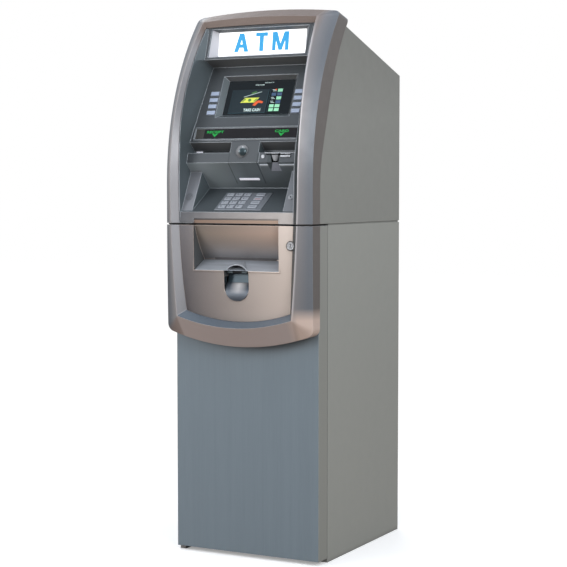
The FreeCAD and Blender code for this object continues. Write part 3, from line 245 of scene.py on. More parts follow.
def brushed(name, color, along="x", rough=0.28, edge=0.0005, edge_highlight=1.3, streak=0.1, metallic=1.0,
            pitch=1400.0, tint=None):
    """Brushed metal with fine streaks along one axis, a painted highlight along sharp edges and painted shade
    in corners.
    """
    p = Paint(name)
    stretch = {"x": (0.02, 1.0, 1.0), "y": (1.0, 0.02, 1.0), "z": (1.0, 1.0, 0.012)}[along]
    lines = p.noise(pitch, 2.0, 0.7, p.stretch(*stretch))
    broad = p.noise(pitch * 0.12, 3.0, 0.6, p.stretch(*stretch))
    both = p.calc("ADD", p.calc("MULTIPLY", lines, 0.6), p.calc("MULTIPLY", broad, 0.4))
    base = p.mix(p.span(both, 0.3, 0.7), scaled(color, 1 - streak), scaled(color, 1 + streak))
    if tint:
        base = tint(p, base)
    # painted highlight along sharp edges
    base = p.mix(p.edge_mask(edge), base, scaled(color, edge_highlight))
    # painted shade in corners from ambient occlusion
    base = p.mix(p.span(p.shade(0.02), 0.1, 0.9, 0.55, 0.0), base, scaled(color, 0.2))
    p.set(color=base, metallic=metallic, rough=p.span(both, 0.3, 0.7, rough - 0.06, rough + 0.08),
          normal=p.relief(both, 0.35, 0.00003, p.round_edges(edge)))
    return p


def glowing(name, color, power, grain=0.06, body=1.0):
    """Lit surface with slight unevenness of its lamp."""
    p = Paint(name)
    base = p.mix(p.span(p.noise(18.0, 3.0), 0.3, 0.7), scaled(color, 1 - grain), scaled(color, 1 + grain))
    shell = p.mix(body, (0, 0, 0, 1), base)
    p.set(color=shell, glow=base, glow_power=power, rough=0.4)
    return p


# ------------------------------------------------------------------ flat places on the CAD
class Plane:
    """Largest flat face of a CAD node that looks to the front, with its own u, v axes in metres."""

    def __init__(self, node):
        mesh = NODES[node].data
        areas = {}
        for poly in mesh.polygons:
            n = poly.normal
            if abs(n.x) < 0.02 and n.y < -0.1:
                areas.setdefault((round(n.y, 2), round(n.z, 2)), []).append(poly)
        best = max(areas.values(), key=lambda polys: sum(q.area for q in polys))
        self.normal = sum((q.normal * q.area for q in best), Vector()).normalized()
        self.right = Vector((1, 0, 0))
        self.up = self.normal.cross(self.right).normalized()
        corners = [mesh.vertices[i].co for q in best for i in q.vertices]
        reach = max(c.dot(self.normal) for c in corners)
        us = [c.dot(self.right) for c in corners]
        vs = [c.dot(self.up) for c in corners]
        self.half_w = (max(us) - min(us)) / 2
        self.half_h = (max(vs) - min(vs)) / 2
        self.centre = (self.right * (max(us) + min(us)) / 2 + self.up * (max(vs) + min(vs)) / 2
                       + self.normal * reach)

    def at(self, u, v, lift=0.0):
        return self.centre + self.right * u + self.up * v + self.normal * lift


def new_piece(name, mesh, body, material):
    mesh.materials.clear()
    mesh.materials.append(material.mat)
    obj = bpy.data.objects.new(name, mesh)
    bpy.context.scene.collection.objects.link(obj)
    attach(obj, body)
    return obj


def plate_mesh(name, pairs):
    """Closed plates in metres, each between a near outline, seen counter-clockwise, and a far one."""
    verts = []
    faces = []
    for near, far in pairs:
        start = len(verts)
        count = len(near)
        verts += [tuple(v) for v in near] + [tuple(v) for v in far]
        faces.append([start + i for i in range(count)])
        faces.append([start + count + i for i in reversed(range(count))])
        for i in range(count):
            j = (i + 1) % count
            faces.append([start + i, start + count + i, start + count + j, start + j])
    mesh = bpy.data.meshes.new(name)
    mesh.from_pydata(verts, [], faces)
    mesh.update()
    return mesh


def plates(name, plane, outlines, body, material, lift=0.05, depth=0.2):
    """Flat plates on a plane with (u, v) outlines, counter-clockwise, in millimetres."""
    pairs = [[[plane.at(u * MM, v * MM, level * MM) for u, v in outline] for level in (lift + depth, lift)]
             for outline in outlines]
    return new_piece(name, plate_mesh(name, pairs), body, material)


def panel(name, corners, body, paint, depth=0.0008):
    """Closed plate from points in metres, counter-clockwise seen from the front, thickened backwards."""
    far = [(x, y + depth, z) for x, y, z in corners]
    return new_piece(name, plate_mesh(name, [(corners, far)]), body, PAINTS[paint])


def rect(u0, u1, v0, v1):
    return [(u0, v0), (u1, v0), (u1, v1), (u0, v1)]


def disc(u, v, radius, sides=16):
    steps = [2 * math.pi * i / sides for i in range(sides)]
    return [(u + radius * math.cos(t), v + radius * math.sin(t)) for t in steps]


def sheared(outline, slant):
    return [(u + slant * v, v) for u, v in outline]


def filled_curve(name, outlines, depth):
    """Mesh of a flat shape with holes, standing depth thick on z = 0."""
    curve = bpy.data.curves.new(name, "CURVE")
    curve.dimensions = "2D"
    curve.fill_mode = "BOTH"
    curve.extrude = depth / 2
    for outline in outlines:
        spline = curve.splines.new("POLY")
        spline.points.add(len(outline) - 1)
        for point, (u, v) in zip(spline.points, outline):
            point.co = (u, v, 0.0, 1.0)
        spline.use_cyclic_u = True
    return curve_to_mesh(curve, name)


def curve_to_mesh(curve, name):
    source = bpy.data.objects.new(name + "_curve", curve)
    bpy.context.scene.collection.objects.link(source)
    graph = bpy.context.evaluated_depsgraph_get()
    mesh = bpy.data.meshes.new_from_object(source.evaluated_get(graph))
    mesh.name = name
    bpy.data.objects.remove(source)
    return mesh


def words(name, text, plane, u, v, height, body, material, lift=0.05, width=None, bold=0.0):
    """Generic lettering centred on (u, v), all in millimetres."""
    curve = bpy.data.curves.new(name, "FONT")
    curve.body = text
    curve.size = 1.0
    curve.offset = bold
    curve.extrude = 0.01
    curve.resolution_u = 3
    mesh = curve_to_mesh(curve, name)
    xs = [p.co.x for p in mesh.vertices]
    ys = [p.co.y for p in mesh.vertices]
    zs = [p.co.z for p in mesh.vertices]
    tall = height / (max(ys) - min(ys))
    wide = width / (max(xs) - min(xs)) if width else tall
    mid_x = (max(xs) + min(xs)) / 2
    mid_y = (max(ys) + min(ys)) / 2
    low_z = min(zs)
    thick = LETTER_DEPTH / (max(zs) - low_z)
    for p in mesh.vertices:
        p.co = plane.at((u + (p.co.x - mid_x) * wide) * MM, (v + (p.co.y - mid_y) * tall) * MM,
                        (lift + (p.co.z - low_z) * thick) * MM)
    return new_piece(name, mesh, body, material)


# ------------------------------------------------------------------ finishes of the CAD nodes
def by_facing(p, base, up=None, down=None, left=None, right=None, strength=1.0):
    """Blend the colour towards another one where the surface looks up, down, left or right."""
    normal = p.facing()
    x = p.axis(normal, 0)
    z = p.axis(normal, 2)
    for value, sign, color in ((z, 1, up), (z, -1, down), (x, -1, left), (x, 1, right)):
        if color:
            share = p.span(value, 0.15 * sign, 0.85 * sign, 0.0, strength)
            base = p.mix(share, base, color)
    return base


BEZEL = srgb(138, 136, 138)
DARK = srgb(86, 90, 94)
CHAMPAGNE = srgb(186, 170, 160)
CABINET = srgb(148, 151, 147)
DOOR = srgb(122, 136, 146)

PAINTS = {}


def make_paints():
    PAINTS["bezel"] = moulding(
        "bezel_paint", BEZEL, metallic=0.3, rough=0.44, flake=0.2, edge=0.0018, edge_highlight=2.0, coat=0.08,
        hollow_shade=0.3, hollow_size=0.02, cloudy=0.015, tint=bezel_painted_light)
    PAINTS["dark"] = moulding(
        "fascia_dark", DARK, metallic=0.3, rough=0.4, flake=0.15, edge=0.0026, edge_highlight=6.2, edge_gain=7.0,
        side_edges=0.0, hollow_shade=0.2, tint=dark_painted_light)
    PAINTS["reader"] = moulding("reader_dark", DARK, metallic=0.3, rough=0.4, flake=0.15, edge=0.0008,
                                edge_highlight=2.0, hollow_shade=0.3, tint=dark_painted_light)
    PAINTS["trim"] = brushed("inlet_silver", srgb(190, 195, 202), "z", rough=0.3, streak=0.04, metallic=0.15,
                             edge_highlight=1.1)
    PAINTS["flare"] = brushed("inlet_flare", srgb(148, 152, 163), "z", rough=0.3, streak=0.04, metallic=0.15)
    # dark colour for plates that paint shade on the notch wall and in the creases
    PAINTS["recess"] = moulding("recess_dark", srgb(62, 70, 74), rough=0.5, edge_highlight=1.2)
    PAINTS["champagne"] = moulding(
        "fascia_champagne", CHAMPAGNE, metallic=0.3, rough=0.38, flake=0.15, edge=0.002, edge_highlight=2.1,
        cloudy=0.02, hollow_shade=0.45, tint=champagne_painted_light)
    PAINTS["cabinet"] = moulding("cabinet_paint", CABINET, rough=0.46, grain=420.0, grain_depth=0.00006,
                                 edge=0.001, edge_highlight=1.25, hollow_shade=0.5, hollow_size=0.015, cloudy=0.012,
                                 tint=cabinet_tint)
    PAINTS["door"] = brushed("door_paint", DOOR, "z", rough=0.42, streak=0.07, metallic=0.15, pitch=900.0,
                             edge=0.001, edge_highlight=1.2,
                             tint=lambda p, base: by_facing(p, base, right=CABINET, left=CABINET))
    PAINTS["zinc"] = brushed("zinc_steel", srgb(186, 190, 194), "z", rough=0.35)
    PAINTS["cassette"] = moulding("cassette_grey", srgb(92, 98, 108), rough=0.55, grain=600.0)
    PAINTS["rubber"] = moulding("roller_rubber", srgb(42, 42, 44), rough=0.75, grain=500.0)
    PAINTS["computer"] = moulding("computer_case", srgb(70, 72, 76), rough=0.45)
    PAINTS["black"] = moulding("module_black", srgb(48, 48, 51), rough=0.5)
    # painted shade on the sign box walls, deepest on the top wall that looks down, lightest on the wall that
    # looks right
    PAINTS["sign_white"] = moulding("sign_white", srgb(226, 228, 234), rough=0.5, edge_highlight=1.05, hollow_shade=0.1,
                                    tint=lambda p, base: by_facing(
                                        p, base, up=srgb(120, 124, 130), down=srgb(70, 76, 80),
                                        right=srgb(196, 198, 206), left=srgb(120, 124, 128)))
    PAINTS["lens"] = glowing("sign_lens", srgb(253, 254, 255), 1.0, 0.01)
    PAINTS["lamp"] = glowing("lamp_lens", srgb(222, 222, 232), 0.45, 0.03)
    PAINTS["glass"] = gloss("display_glass", srgb(6, 18, 23), 0.06)
    # status strip with a painted sheen at its left end
    PAINTS["strip"] = gloss("strip_black", srgb(26, 24, 27), 0.12, painted_sheen_end=True)
    # painted shade on faces of the socket that look down and on faces that look right
    PAINTS["chrome"] = brushed("bright_metal", srgb(176, 179, 184), "x", rough=0.3, streak=0.05,
                               edge_highlight=1.2, metallic=0.6, tint=lambda p, base: by_facing(
                                   p, base, down=srgb(70, 78, 84), right=srgb(92, 96, 100), strength=0.8))
    PAINTS["dome"] = moulding("dome_satin", srgb(176, 178, 182), metallic=0.45, rough=0.3, edge=0.0008,
                              edge_highlight=1.1, cloudy=0.02, tint=dome_tint)
    PAINTS["lock"] = brushed("lock_metal", srgb(196, 198, 202), "z", rough=0.25, streak=0.05, metallic=0.6,
                             tint=lock_tint)
    PAINTS["paper"] = moulding("receipt_paper", srgb(240, 240, 236), rough=0.8, edge_highlight=1.0, hollow_shade=0.2)
    PAINTS["keypad"] = brushed("keypad_metal", srgb(138, 144, 152), "x", rough=0.4, metallic=0.6, streak=0.08)
    PAINTS["key"] = brushed("key_metal", srgb(178, 184, 194), "x", rough=0.34, metallic=0.4, streak=0.05,
                            edge=0.0006, edge_highlight=1.25)
    PAINTS["soft_key"] = moulding("soft_key", srgb(172, 186, 210), rough=0.45, edge=0.0006, edge_highlight=1.15)
    PAINTS["tray"] = brushed("tray_steel", srgb(166, 172, 180), "x", rough=0.36, streak=0.3, metallic=0.3,
                             edge=0.0014, edge_highlight=1.7)
    PAINTS["scoop"] = brushed("scoop_satin", srgb(120, 126, 134), "z", rough=0.34, streak=0.04, metallic=0.3,
                              tint=scoop_painted_light)
    PAINTS["ink"] = moulding("ink_dark", srgb(104, 110, 120), rough=0.5, edge_highlight=1.0)
    PAINTS["ink_red"] = moulding("ink_red", srgb(186, 84, 88), rough=0.5, edge_highlight=1.0)
    PAINTS["slate"] = moulding("tab_slate", srgb(122, 140, 148), rough=0.45, edge_highlight=1.4)
    PAINTS["brush"] = brushed("brush_grey", srgb(104, 102, 104), "z", rough=0.7, streak=0.25, metallic=0.0)
    PAINTS["cyan"] = glowing("sign_cyan", srgb(0, 170, 238), 0.86, 0.02, 0.1)
    PAINTS["green"] = glowing("strip_green", srgb(8, 180, 74), 0.75, 0.05, 0.15)
    PAINTS["grille"] = moulding("speaker_holes", srgb(44, 46, 50), rough=0.8, edge_highlight=1.0)


def bezel_painted_light(p, base):
    """Painted light, shade and reflections on the one-colour bezel paint, by place and by facing direction.
    """
    x = p.place(0)
    z = p.place(2)
    side = p.calc("ABSOLUTE", x)
    above = p.calc("SUBTRACT", z, CREST_MID_Z)
    drop = p.calc("MULTIPLY", p.calc("MULTIPLY", above, above), CREST_CURVE)
    crest = p.calc("SUBTRACT", CREST_HALF, drop)
    outward = p.calc("DIVIDE", p.calc("SUBTRACT", side, crest), p.calc("SUBTRACT", OUTER_HALF, crest))
    # painted light: the front lighter at the left than at the right
    front = p.mix(p.span(x, -0.2, 0.2), srgb(164, 161, 162), srgb(133, 131, 133))
    # painted blue-grey reflection towards the outer edge of the front
    base = p.mix(p.span(outward, 0.0, 0.8), front, srgb(104, 110, 118))
    # painted highlight along the crest
    base = p.mix(p.span(outward, 0.0, 0.12), srgb(206, 203, 206), base)
    # painted light on the left inner bevel and painted shade on the right one
    turn = p.calc("MULTIPLY", p.axis(p.facing(), 0), p.calc("SIGN", x))
    inner_bevel_shading = p.span(turn, -0.2, -0.6)
    base = p.mix(inner_bevel_shading, base, p.mix(p.span(x, -0.01, 0.01), srgb(152, 153, 158), srgb(62, 69, 72)))
    # painted shade on the outer sides
    base = p.mix(p.span(turn, 0.75, 0.97), base, srgb(106, 102, 100))
    low = p.span(z, 0.72, 0.66)
    # painted bronze reflection where the bezel faces down
    base = by_facing(p, base, down=srgb(162, 136, 123), strength=0.95)
    # painted highlight in the lower right mitre corner
    corner = p.calc("MULTIPLY", p.span(x, 0.15, 0.18), p.span(z, 0.66, 0.63))
    base = p.mix(corner, base, srgb(214, 194, 183))
    upward = p.span(p.axis(p.facing(), 2), 0.15, 0.6)
    # painted brown shade on the top bar
    top_bar_shade = p.calc("MULTIPLY", p.span(z, 1.32, 1.38), p.span(side, 0.185, 0.165))
    base = p.mix(top_bar_shade, base, srgb(126, 112, 105))
    # painted slate reflection on low faces that look up
    return p.mix(p.calc("MULTIPLY", low, upward), base, srgb(94, 106, 118))


def dark_painted_light(p, base):
    """Painted light and shade on the dark moulding, and on the champagne band and pocket below the keypad
    shelf.
    """
    x = p.place(0)
    y = p.place(1)
    z = p.place(2)
    # painted light for faces that look down, strongest at the left and greyer above the ledge
    below = p.mix(p.span(x, -0.16, 0.0), srgb(208, 222, 228), srgb(106, 116, 120))
    below = p.mix(p.span(z, 1.035, 1.045), below, srgb(122, 124, 126))
    # painted shade on faces that look up and the painted light on faces that look down
    base = by_facing(p, base, up=srgb(74, 82, 87), down=below, strength=0.9)
    # painted blue-grey light on walls that look right
    base = by_facing(p, base, right=srgb(98, 110, 116), strength=0.85)
    # painted lighter front faces of the wings
    side = p.calc("ABSOLUTE", x)
    ahead = p.span(p.axis(p.facing(), 1), -0.5, -0.8)
    wing = p.calc("MULTIPLY", p.calc("MULTIPLY", p.span(side, 0.1315, 0.132), p.span(z, 1.006, 1.004)), ahead)
    base = p.mix(wing, base, p.mix(p.span(x, -0.01, 0.01), srgb(136, 139, 146), srgb(126, 130, 136)))
    # band below the keypad shelf: painted shade at the left and painted light at the right
    band = p.mix(p.span(x, -0.15, 0.15), srgb(66, 67, 72), srgb(168, 162, 159))
    # painted bronze light on the band's faces that look up and on the pocket wall
    bronze = p.mix(p.span(x, -0.14, 0.1), srgb(166, 142, 128), srgb(214, 190, 172))
    band = by_facing(p, band, up=bronze, strength=1.0)
    depth = p.calc("SUBTRACT", y, p.calc("MULTIPLY", z, 0.1034))
    band = p.mix(p.span(depth, -0.3992, -0.3986), band, bronze)
    return p.mix(p.span(z, BAND_TOP_Z + 0.0005, BAND_TOP_Z - 0.0005), base, band)


def champagne_painted_light(p, base):
    """Painted shade towards the left and painted light towards the right, a bronze pocket wall fading to
    painted slate shade, painted shade on faces that look right.
    """
    x = p.place(0)
    z = p.place(2)
    # painted shade at the left and painted light at the right
    base = p.mix(p.span(x, -0.15, 0.15), srgb(98, 96, 100), srgb(220, 207, 198))
    # pocket wall on faces that look down: bronze painted lighter to the right, fading to painted slate shade
    # at the bottom
    upper = p.mix(p.span(x, -0.12, 0.09), srgb(152, 143, 134), srgb(210, 187, 173))
    pocket = p.mix(p.span(z, 0.785, 0.845), srgb(136, 136, 139), upper)
    base = p.mix(p.span(p.axis(p.facing(), 2), -0.15, -0.4), base, pocket)
    # painted shade on faces that look right
    return by_facing(p, base, right=srgb(84, 92, 96), strength=0.9)


def cabinet_tint(p, base):
    """The lower half of the paint is slightly lighter than the upper half, whose painted shade deepens
    towards the top.
    """
    z = p.place(2)
    # painted shade on the upper half, deepening towards the top
    upper = p.mix(p.span(z, 1.15, 1.38), scaled(CABINET, 0.86), scaled(CABINET, 0.7))
    return p.mix(p.span(z, SEAM_Z - 0.001, SEAM_Z + 0.001), scaled(CABINET, 1.08), upper)


def dome_tint(p, base):
    """Silver rim around a dark lens that looks slightly to the right."""
    toward = p.node("ShaderNodeVectorMath", operation="DOT_PRODUCT")
    p.feed(toward.inputs[0], p.facing())
    toward.inputs[1].default_value = Vector((0.42, -0.9, 0.02)).normalized()
    return p.mix(p.span(toward.outputs["Value"], 0.62, 0.9), base, srgb(58, 74, 80))


def scoop_painted_light(p, base):
    """Blue-grey flat above a bulge with a painted highlight in its middle that fades to painted shade lower
    down.
    """
    x = p.place(0)
    z = p.place(2)
    # painted highlight in the middle of the bulge, fading to painted shade lower down
    centre = p.span(p.calc("ABSOLUTE", p.calc("SUBTRACT", x, 0.002)), 0.002, 0.026, 1.0, 0.0)
    lit = p.calc("MULTIPLY", centre, p.span(z, 0.690, 0.716))
    base = p.mix(lit, srgb(76, 84, 94), srgb(222, 219, 219))
    return p.mix(p.span(z, 0.7183, 0.7193), base, srgb(58, 76, 86))


def lock_tint(p, base):
    """Dark groove around a bright cylinder face, inside a ring of painted shade."""
    lo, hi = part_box("lock_escutcheon")
    centre = (Vector(lo) + Vector(hi)) / 2
    dx = p.calc("SUBTRACT", p.place(0), centre.x)
    dz = p.calc("SUBTRACT", p.place(2), centre.z)
    radius = p.calc("SQRT", p.calc("ADD", p.calc("MULTIPLY", dx, dx), p.calc("MULTIPLY", dz, dz)))
    groove = p.calc("MULTIPLY", p.span(radius, 0.0044, 0.0048), p.span(radius, 0.006, 0.0056))
    base = p.mix(groove, base, srgb(120, 124, 132))
    # painted shade ring round the outside of the lock
    base = p.mix(p.span(radius, 0.0092, 0.0104), base, srgb(92, 88, 86))
    return p.mix(p.span(radius, 0.0016, 0.0011), base, srgb(96, 60, 50))


def gloss(name, color, rough, painted_sheen_end=False):
    """Dark glass or glossy plastic with faint smears, optionally with a painted sheen at the left end."""
    p = Paint(name)
    smear = p.noise(26.0, 5.0, 0.6, p.stretch(1.0, 1.0, 2.5), 0.6)
    base = p.mix(p.span(smear, 0.35, 0.75), scaled(color, 0.85), scaled(color, 1.2))
    if painted_sheen_end:
        # painted sheen, lighter grey, at the left end of the strip
        x = p.place(0)
        base = p.mix(p.span(x, -0.1305, -0.1295, 1.0, 0.0), base, srgb(72, 72, 70))
    p.set(color=base, rough=p.span(smear, 0.3, 0.8, rough, rough + 0.1), specular=0.35, coat=0.15,
          coat_rough=0.03)
    return p


LOOKS = {
    "cabinet": ["safe_body", "upper_housing"],
    "door": ["door_panel"],
    "bezel": ["upper_bezel", "lower_bezel"],
    "dark": ["fascia_panel"],
    "reader": ["card_reader"],
    "champagne": ["lower_fascia"],
    "zinc": ["hinge_brackets", "strike_plate", "dispenser_frame", "bolt_bar", "housing_screws",
             "fascia_latch"],
    "cassette": ["cassette"],
    "rubber": ["exit_roller_drive", "exit_roller_idler"],
    "computer": ["control_computer"],
    "black": ["display_module", "receipt_printer", "power_inlet", "power_rocker"],
    "sign_white": ["sign_box"],
    "lens": ["sign_lens"],
    "lamp": ["keypad_light"],
    "glass": ["display_glass"],
    "strip": ["status_strip"],
    "trim": ["card_inlet_trim"],
    "chrome": ["audio_jack"],
    "dome": ["camera_dome"],
    "lock": ["lock_escutcheon", "lock_cylinder"],
    "paper": ["paper_roll"],
    "keypad": ["keypad_plate"],
    "key": ["pad_key_%d" % i for i in range(1, 13)] + ["function_key_%d" % i for i in range(1, 5)],
    "soft_key": ["screen_key_%d" % i for i in range(1, 9)],
    "tray": ["cash_tray"],
    "scoop": ["finger_scoop"],
}


def dress_cad():
    for look, names in LOOKS.items():
        for name in names:
            obj = NODES[name]
            obj.data.materials.clear()
            obj.data.materials.append(PAINTS[look].mat)
            if obj.data.has_custom_normals:
                continue
            obj.data.shade_smooth()
            weld = obj.modifiers.new("weld", "WELD")
            weld.merge_threshold = 0.00001
            split = obj.modifiers.new("split", "EDGE_SPLIT")
            split.split_angle = SHARP
            split.use_edge_sharp = False


# ------------------------------------------------------------------ lettering, screen, marks
def sign_letters():
    lens = Plane("sign_lens")
    low, high = -21.9, 26.9
    tall = high - low
    outlines = {
        "A": ([(-82, 0), (-69.5, 0), (-66.3, 11), (-54.7, 11), (-51.5, 0), (-39, 0), (-54, tall),
               (-67, tall)],
              [(-63.8, 20), (-57.2, 20), (-60.5, 33.5)]),
        "T": ([(-7, 0), (5, 0), (5, tall - 9.5), (16.5, tall - 9.5), (16.5, tall), (-18.5, tall),
               (-18.5, tall - 9.5), (-7, tall - 9.5)],),
        "M": ([(31, 0), (41, 0), (41.5, 27), (50, 1), (60, 1), (68.5, 27), (69, 0), (79, 0), (79, tall),
               (65.5, tall), (55, 17), (44.5, tall), (31, tall)],),
    }
    for letter, shapes in outlines.items():
        mesh = filled_curve("sign_letter_" + letter, [[(u, v + low) for u, v in s] for s in shapes], 0.6)
        for vertex in mesh.vertices:
            u, v, w = vertex.co
            vertex.co = lens.at(u * MM, v * MM, (0.35 + w) * MM)
        new_piece("sign_letter_" + letter, mesh, "fascia", PAINTS["cyan"])


def screen_picture():
    glass = Plane("display_glass")
    dim = glowing("screen_line", srgb(40, 74, 84), 0.35)
    pale = glowing("screen_pale", srgb(186, 206, 204), 0.5)
    mint = glowing("screen_mint", srgb(140, 204, 168), 0.45)
    slate = glowing("screen_slate", srgb(60, 84, 116), 0.35)
    lime = glowing("screen_lime", srgb(196, 204, 80), 0.45)
    leaf = glowing("screen_leaf", srgb(70, 120, 60), 0.35)
    ember = glowing("screen_ember", srgb(204, 84, 40), 0.45)
    field = glowing("screen_field", srgb(10, 30, 38), 0.3)
    body = "fascia"
    plates("screen_field", glass, [rect(-83, 26, -44, 24)], body, field, 0.05, 0.1)
    frame_lines = [rect(-83, 26, -44.4, -43.6), rect(25.6, 26.4, -43.6, 24), rect(31, 31.6, -44, 26)]
    plates("screen_lines", glass, frame_lines, body, dim, 0.2, 0.1)
    plates("screen_note", glass, [sheared(rect(-40, 2, -14, 0), 0.9)], body, lime, 0.2, 0.1)
    note_marks = [disc(-25.5, -7, 4.6), sheared(rect(-38, -34, -11, -3), 0.9),
                  sheared(rect(-4, 0, -11, -3), 0.9), [(-22, 10), (-8, 16), (-10, 19), (-24, 14)]]
    plates("screen_note_marks", glass, note_marks, body, leaf, 0.35, 0.1)
    arrow = [(-14, -22), (-6, -24), (2, -15), (14, -17), (16, -12), (2, -8), (-8, -12)]
    plates("screen_arrow", glass, [arrow], body, ember, 0.35, 0.1)
    plates("screen_rule", glass, [[(-46, 3), (-45, 2), (6, 16), (5, 17.2)]], body, pale, 0.35, 0.1)
    words("screen_title", "TAKE CASH", glass, -13, -35.5, 8.5, body, pale, 0.35, 50, 0.03)
    words("screen_hint", "WELCOME", glass, -4.5, 37, 3.4, body, pale, 0.1, 27, 0.01)
    words("screen_hint_2", "SELECT", glass, 22.5, 43, 2.8, body, pale, 0.1, 28, 0.01)
    left_tiles, right_tiles, small = [], [], []
    for row in range(6):
        v = 20 - row * TILE_PITCH
        right_tiles.append(rect(52, 66, v - 4.6, v + 4.2))
        left_tiles.append(rect(36, 49, v - 4.6, v + 4.2))
    lit = [right_tiles[i] for i in (0, 2, 4, 5)] + [left_tiles[i] for i in (4, 5)]
    quiet = [right_tiles[i] for i in (1, 3)] + [left_tiles[1]]
    for row in (0, 2, 3):
        v = 20 - row * TILE_PITCH
        small += [rect(36, 44, v + 1.2, v + 2.6), rect(38, 48, v - 2.6, v - 1.2)]
    plates("screen_tiles_lit", glass, lit, body, mint, 0.1, 0.1)
    plates("screen_tiles_quiet", glass, quiet, body, slate, 0.1, 0.1)
    plates("screen_tiles_text", glass, small, body, pale, 0.1, 0.1)
    plates("screen_tile_flag", glass, [rect(44, 49, 20, 24)], body, ember, 0.1, 0.1)


def strip_marks():
    strip = Plane("status_strip")
    for name, text, u, width in (("receipt", "RECEIPT", -97, 50), ("card", "CARD", 98, 40)):
        words("strip_word_" + name, text, strip, u, 5.0, 7.0, "fascia", PAINTS["green"], 0.05, width, 0.03)
        chevron = [(u - 9, 0.4), (u - 4, 0.4), (u, -2.6), (u + 4, 0.4), (u + 9, 0.4), (u, -9.5)]
        plates("strip_arrow_" + name, strip, [chevron], "fascia", PAINTS["green"], 0.05, 0.15)


def key_marks():
    legends = ["1", "2", "3", "4", "5", "6", "7", "8", "9", "*", "0", "#"]
    for i, legend in enumerate(legends):
        key = "pad_key_%d" % (i + 1)
        top = Plane(key)
        words(key + "_mark", legend, top, -3.2, 0.3, 6.2, BODY_OF[key], PAINTS["ink"], 0.02, bold=0.02)
        if i not in (0, 9, 10, 11):
            lines = [rect(1.5, 6.5, 0.6, 1.4)]
            plates(key + "_letters", top, lines, BODY_OF[key], PAINTS["ink"], 0.02, 0.12)
    for i in range(1, 5):
        key = "function_key_%d" % i
        top = Plane(key)
        ink = PAINTS["ink_red"] if i == 2 else PAINTS["ink"]
        height = -3.6 if i == 2 else 0.0
        plates(key + "_mark", top, [rect(-8, 8, height - 0.9, height + 0.9)], BODY_OF[key], ink, 0.02, 0.12)


def speaker():
    """Ring pattern of small holes on the left wing, opposite the earphone socket."""
    socket = Plane("audio_jack")
    left = -socket.centre.x * 2 / MM - 5.0
    wing_level = -1.97
    dots = []
    for ring, count in ((0.0, 1), (3.2, 6), (6.2, 12), (9.2, 18)):
        for i in range(count):
            t = 2 * math.pi * i / count
            dots.append(disc(left + ring * math.cos(t), ring * math.sin(t), 0.75, 10))
    plates("speaker_holes", socket, dots, "fascia", PAINTS["grille"], wing_level, 0.35)


def receipt_light():
    """Short light bar at the left end of the receipt slot."""
    width, height, depth = 0.019, 0.0030, 0.0012
    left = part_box("receipt_printer")[0][0] - 0.007
    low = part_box("card_reader")[1][2] + 0.0005
    front = SLOT_WALL_Y - depth
    corners = [(x, front, z) for x, z in rect(left, left + width, low, low + height)]
    panel("receipt_light", corners, "fascia", "lamp", depth)


def ledge_face(z):
    """Y just in front of the ledge: its front face above the lower edge, its underside below it."""
    edge_y, edge_z = LEDGE_EDGE
    slope = LEDGE_FRONT_SLOPE if z > edge_z else LEDGE_UNDER_SLOPE
    return edge_y + (z - edge_z) * slope - 0.0003


def on_ledge(name, points, paint):
    """Thin plate lying on the ledge through (x, z) points, counter-clockwise seen from the front."""
    return panel(name, [(x, ledge_face(z), z) for x, z in points], "fascia", paint)


def card_inlet():
    """Dark plates that paint the shaded left wall of the finger notch, and the bright flared scoop under it.
    """
    edge = LEDGE_EDGE[1]
    low, top = 1.0036, 1.0440
    on_ledge("inlet_wall", [(0.0705, edge), (0.0850, edge), (0.0792, top), (0.0725, top)], "recess")
    on_ledge("inlet_wall_low", [(0.0740, low), (0.0880, edge), (0.0705, edge)], "recess")
    on_ledge("inlet_scoop", [(0.0740, low), (0.1040, low), (0.1030, edge), (0.0880, edge)], "flare")


def creases():
    """Dark lines of painted shade for the grooves where the centre block's sides run on across the ledge and
    its underside.
    """
    edge = LEDGE_EDGE[1]
    for name, x, half in (("left", -0.042, 0.0007), ("right", 0.042, 0.0012)):
        for part, low, high in (("front", edge, 1.0507), ("under", 0.972, edge)):
            on_ledge("crease_%s_%s" % (name, part), rect(x - half, x + half, low, high), "recess")


def note_brush():
    """Grey bristles that close the note slot in the pocket's back wall."""
    half = 0.0903
    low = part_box("cash_tray")[1][2] + 0.0003
    high = low + 0.0066
    depth_at = {low: -0.2558, high: -0.2594}
    corners = [(x, depth_at[z], z) for x, z in rect(-half, half, low, high)]
    panel("note_brush", corners, "door", "brush", 0.0015)


def seam_gasket():
    """Dark strips that close the seam between the two halves of the bezel."""
    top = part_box("fascia_panel")[0][2] - 0.0004
    thick = 0.0028
    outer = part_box("upper_bezel")[1][0] - 0.0035
    outline = [(outer, -0.2545), (0.172, -0.2545), (0.172, -0.309), (0.184, -0.3235), (outer, -0.2925)]
    for name, side in (("left", -1), ("right", 1)):
        upper = [(side * x, y, top) for x, y in outline[::side]]
        lower = [(x, y, top - thick) for x, y, _ in upper]
        mesh = plate_mesh("seam_gasket_" + name, [(upper, lower)])
        new_piece("seam_gasket_" + name, mesh, "fascia", PAINTS["rubber"])


def note_curtain():
    """Black bristle curtain with two sensor tabs behind the finger opening."""
    flat = Plane("finger_scoop")
    top = flat.half_h / MM
    plates("note_curtain", flat, [rect(-34, 34, top + 0.1, top + 15)], "door", PAINTS["grille"], -2.0, 1.0)
    side = -flat.half_w / MM
    plates("scoop_shoulder", flat, [rect(side - 12, side + 0.5, 0, top)], "door", PAINTS["scoop"], -3.0, 1.0)
    plates("note_tabs", flat, [rect(-33, -18, top + 0.1, top + 8), rect(9, 24, top + 0.1, top + 11)], "door",
           PAINTS["slate"], -0.9, 0.8)


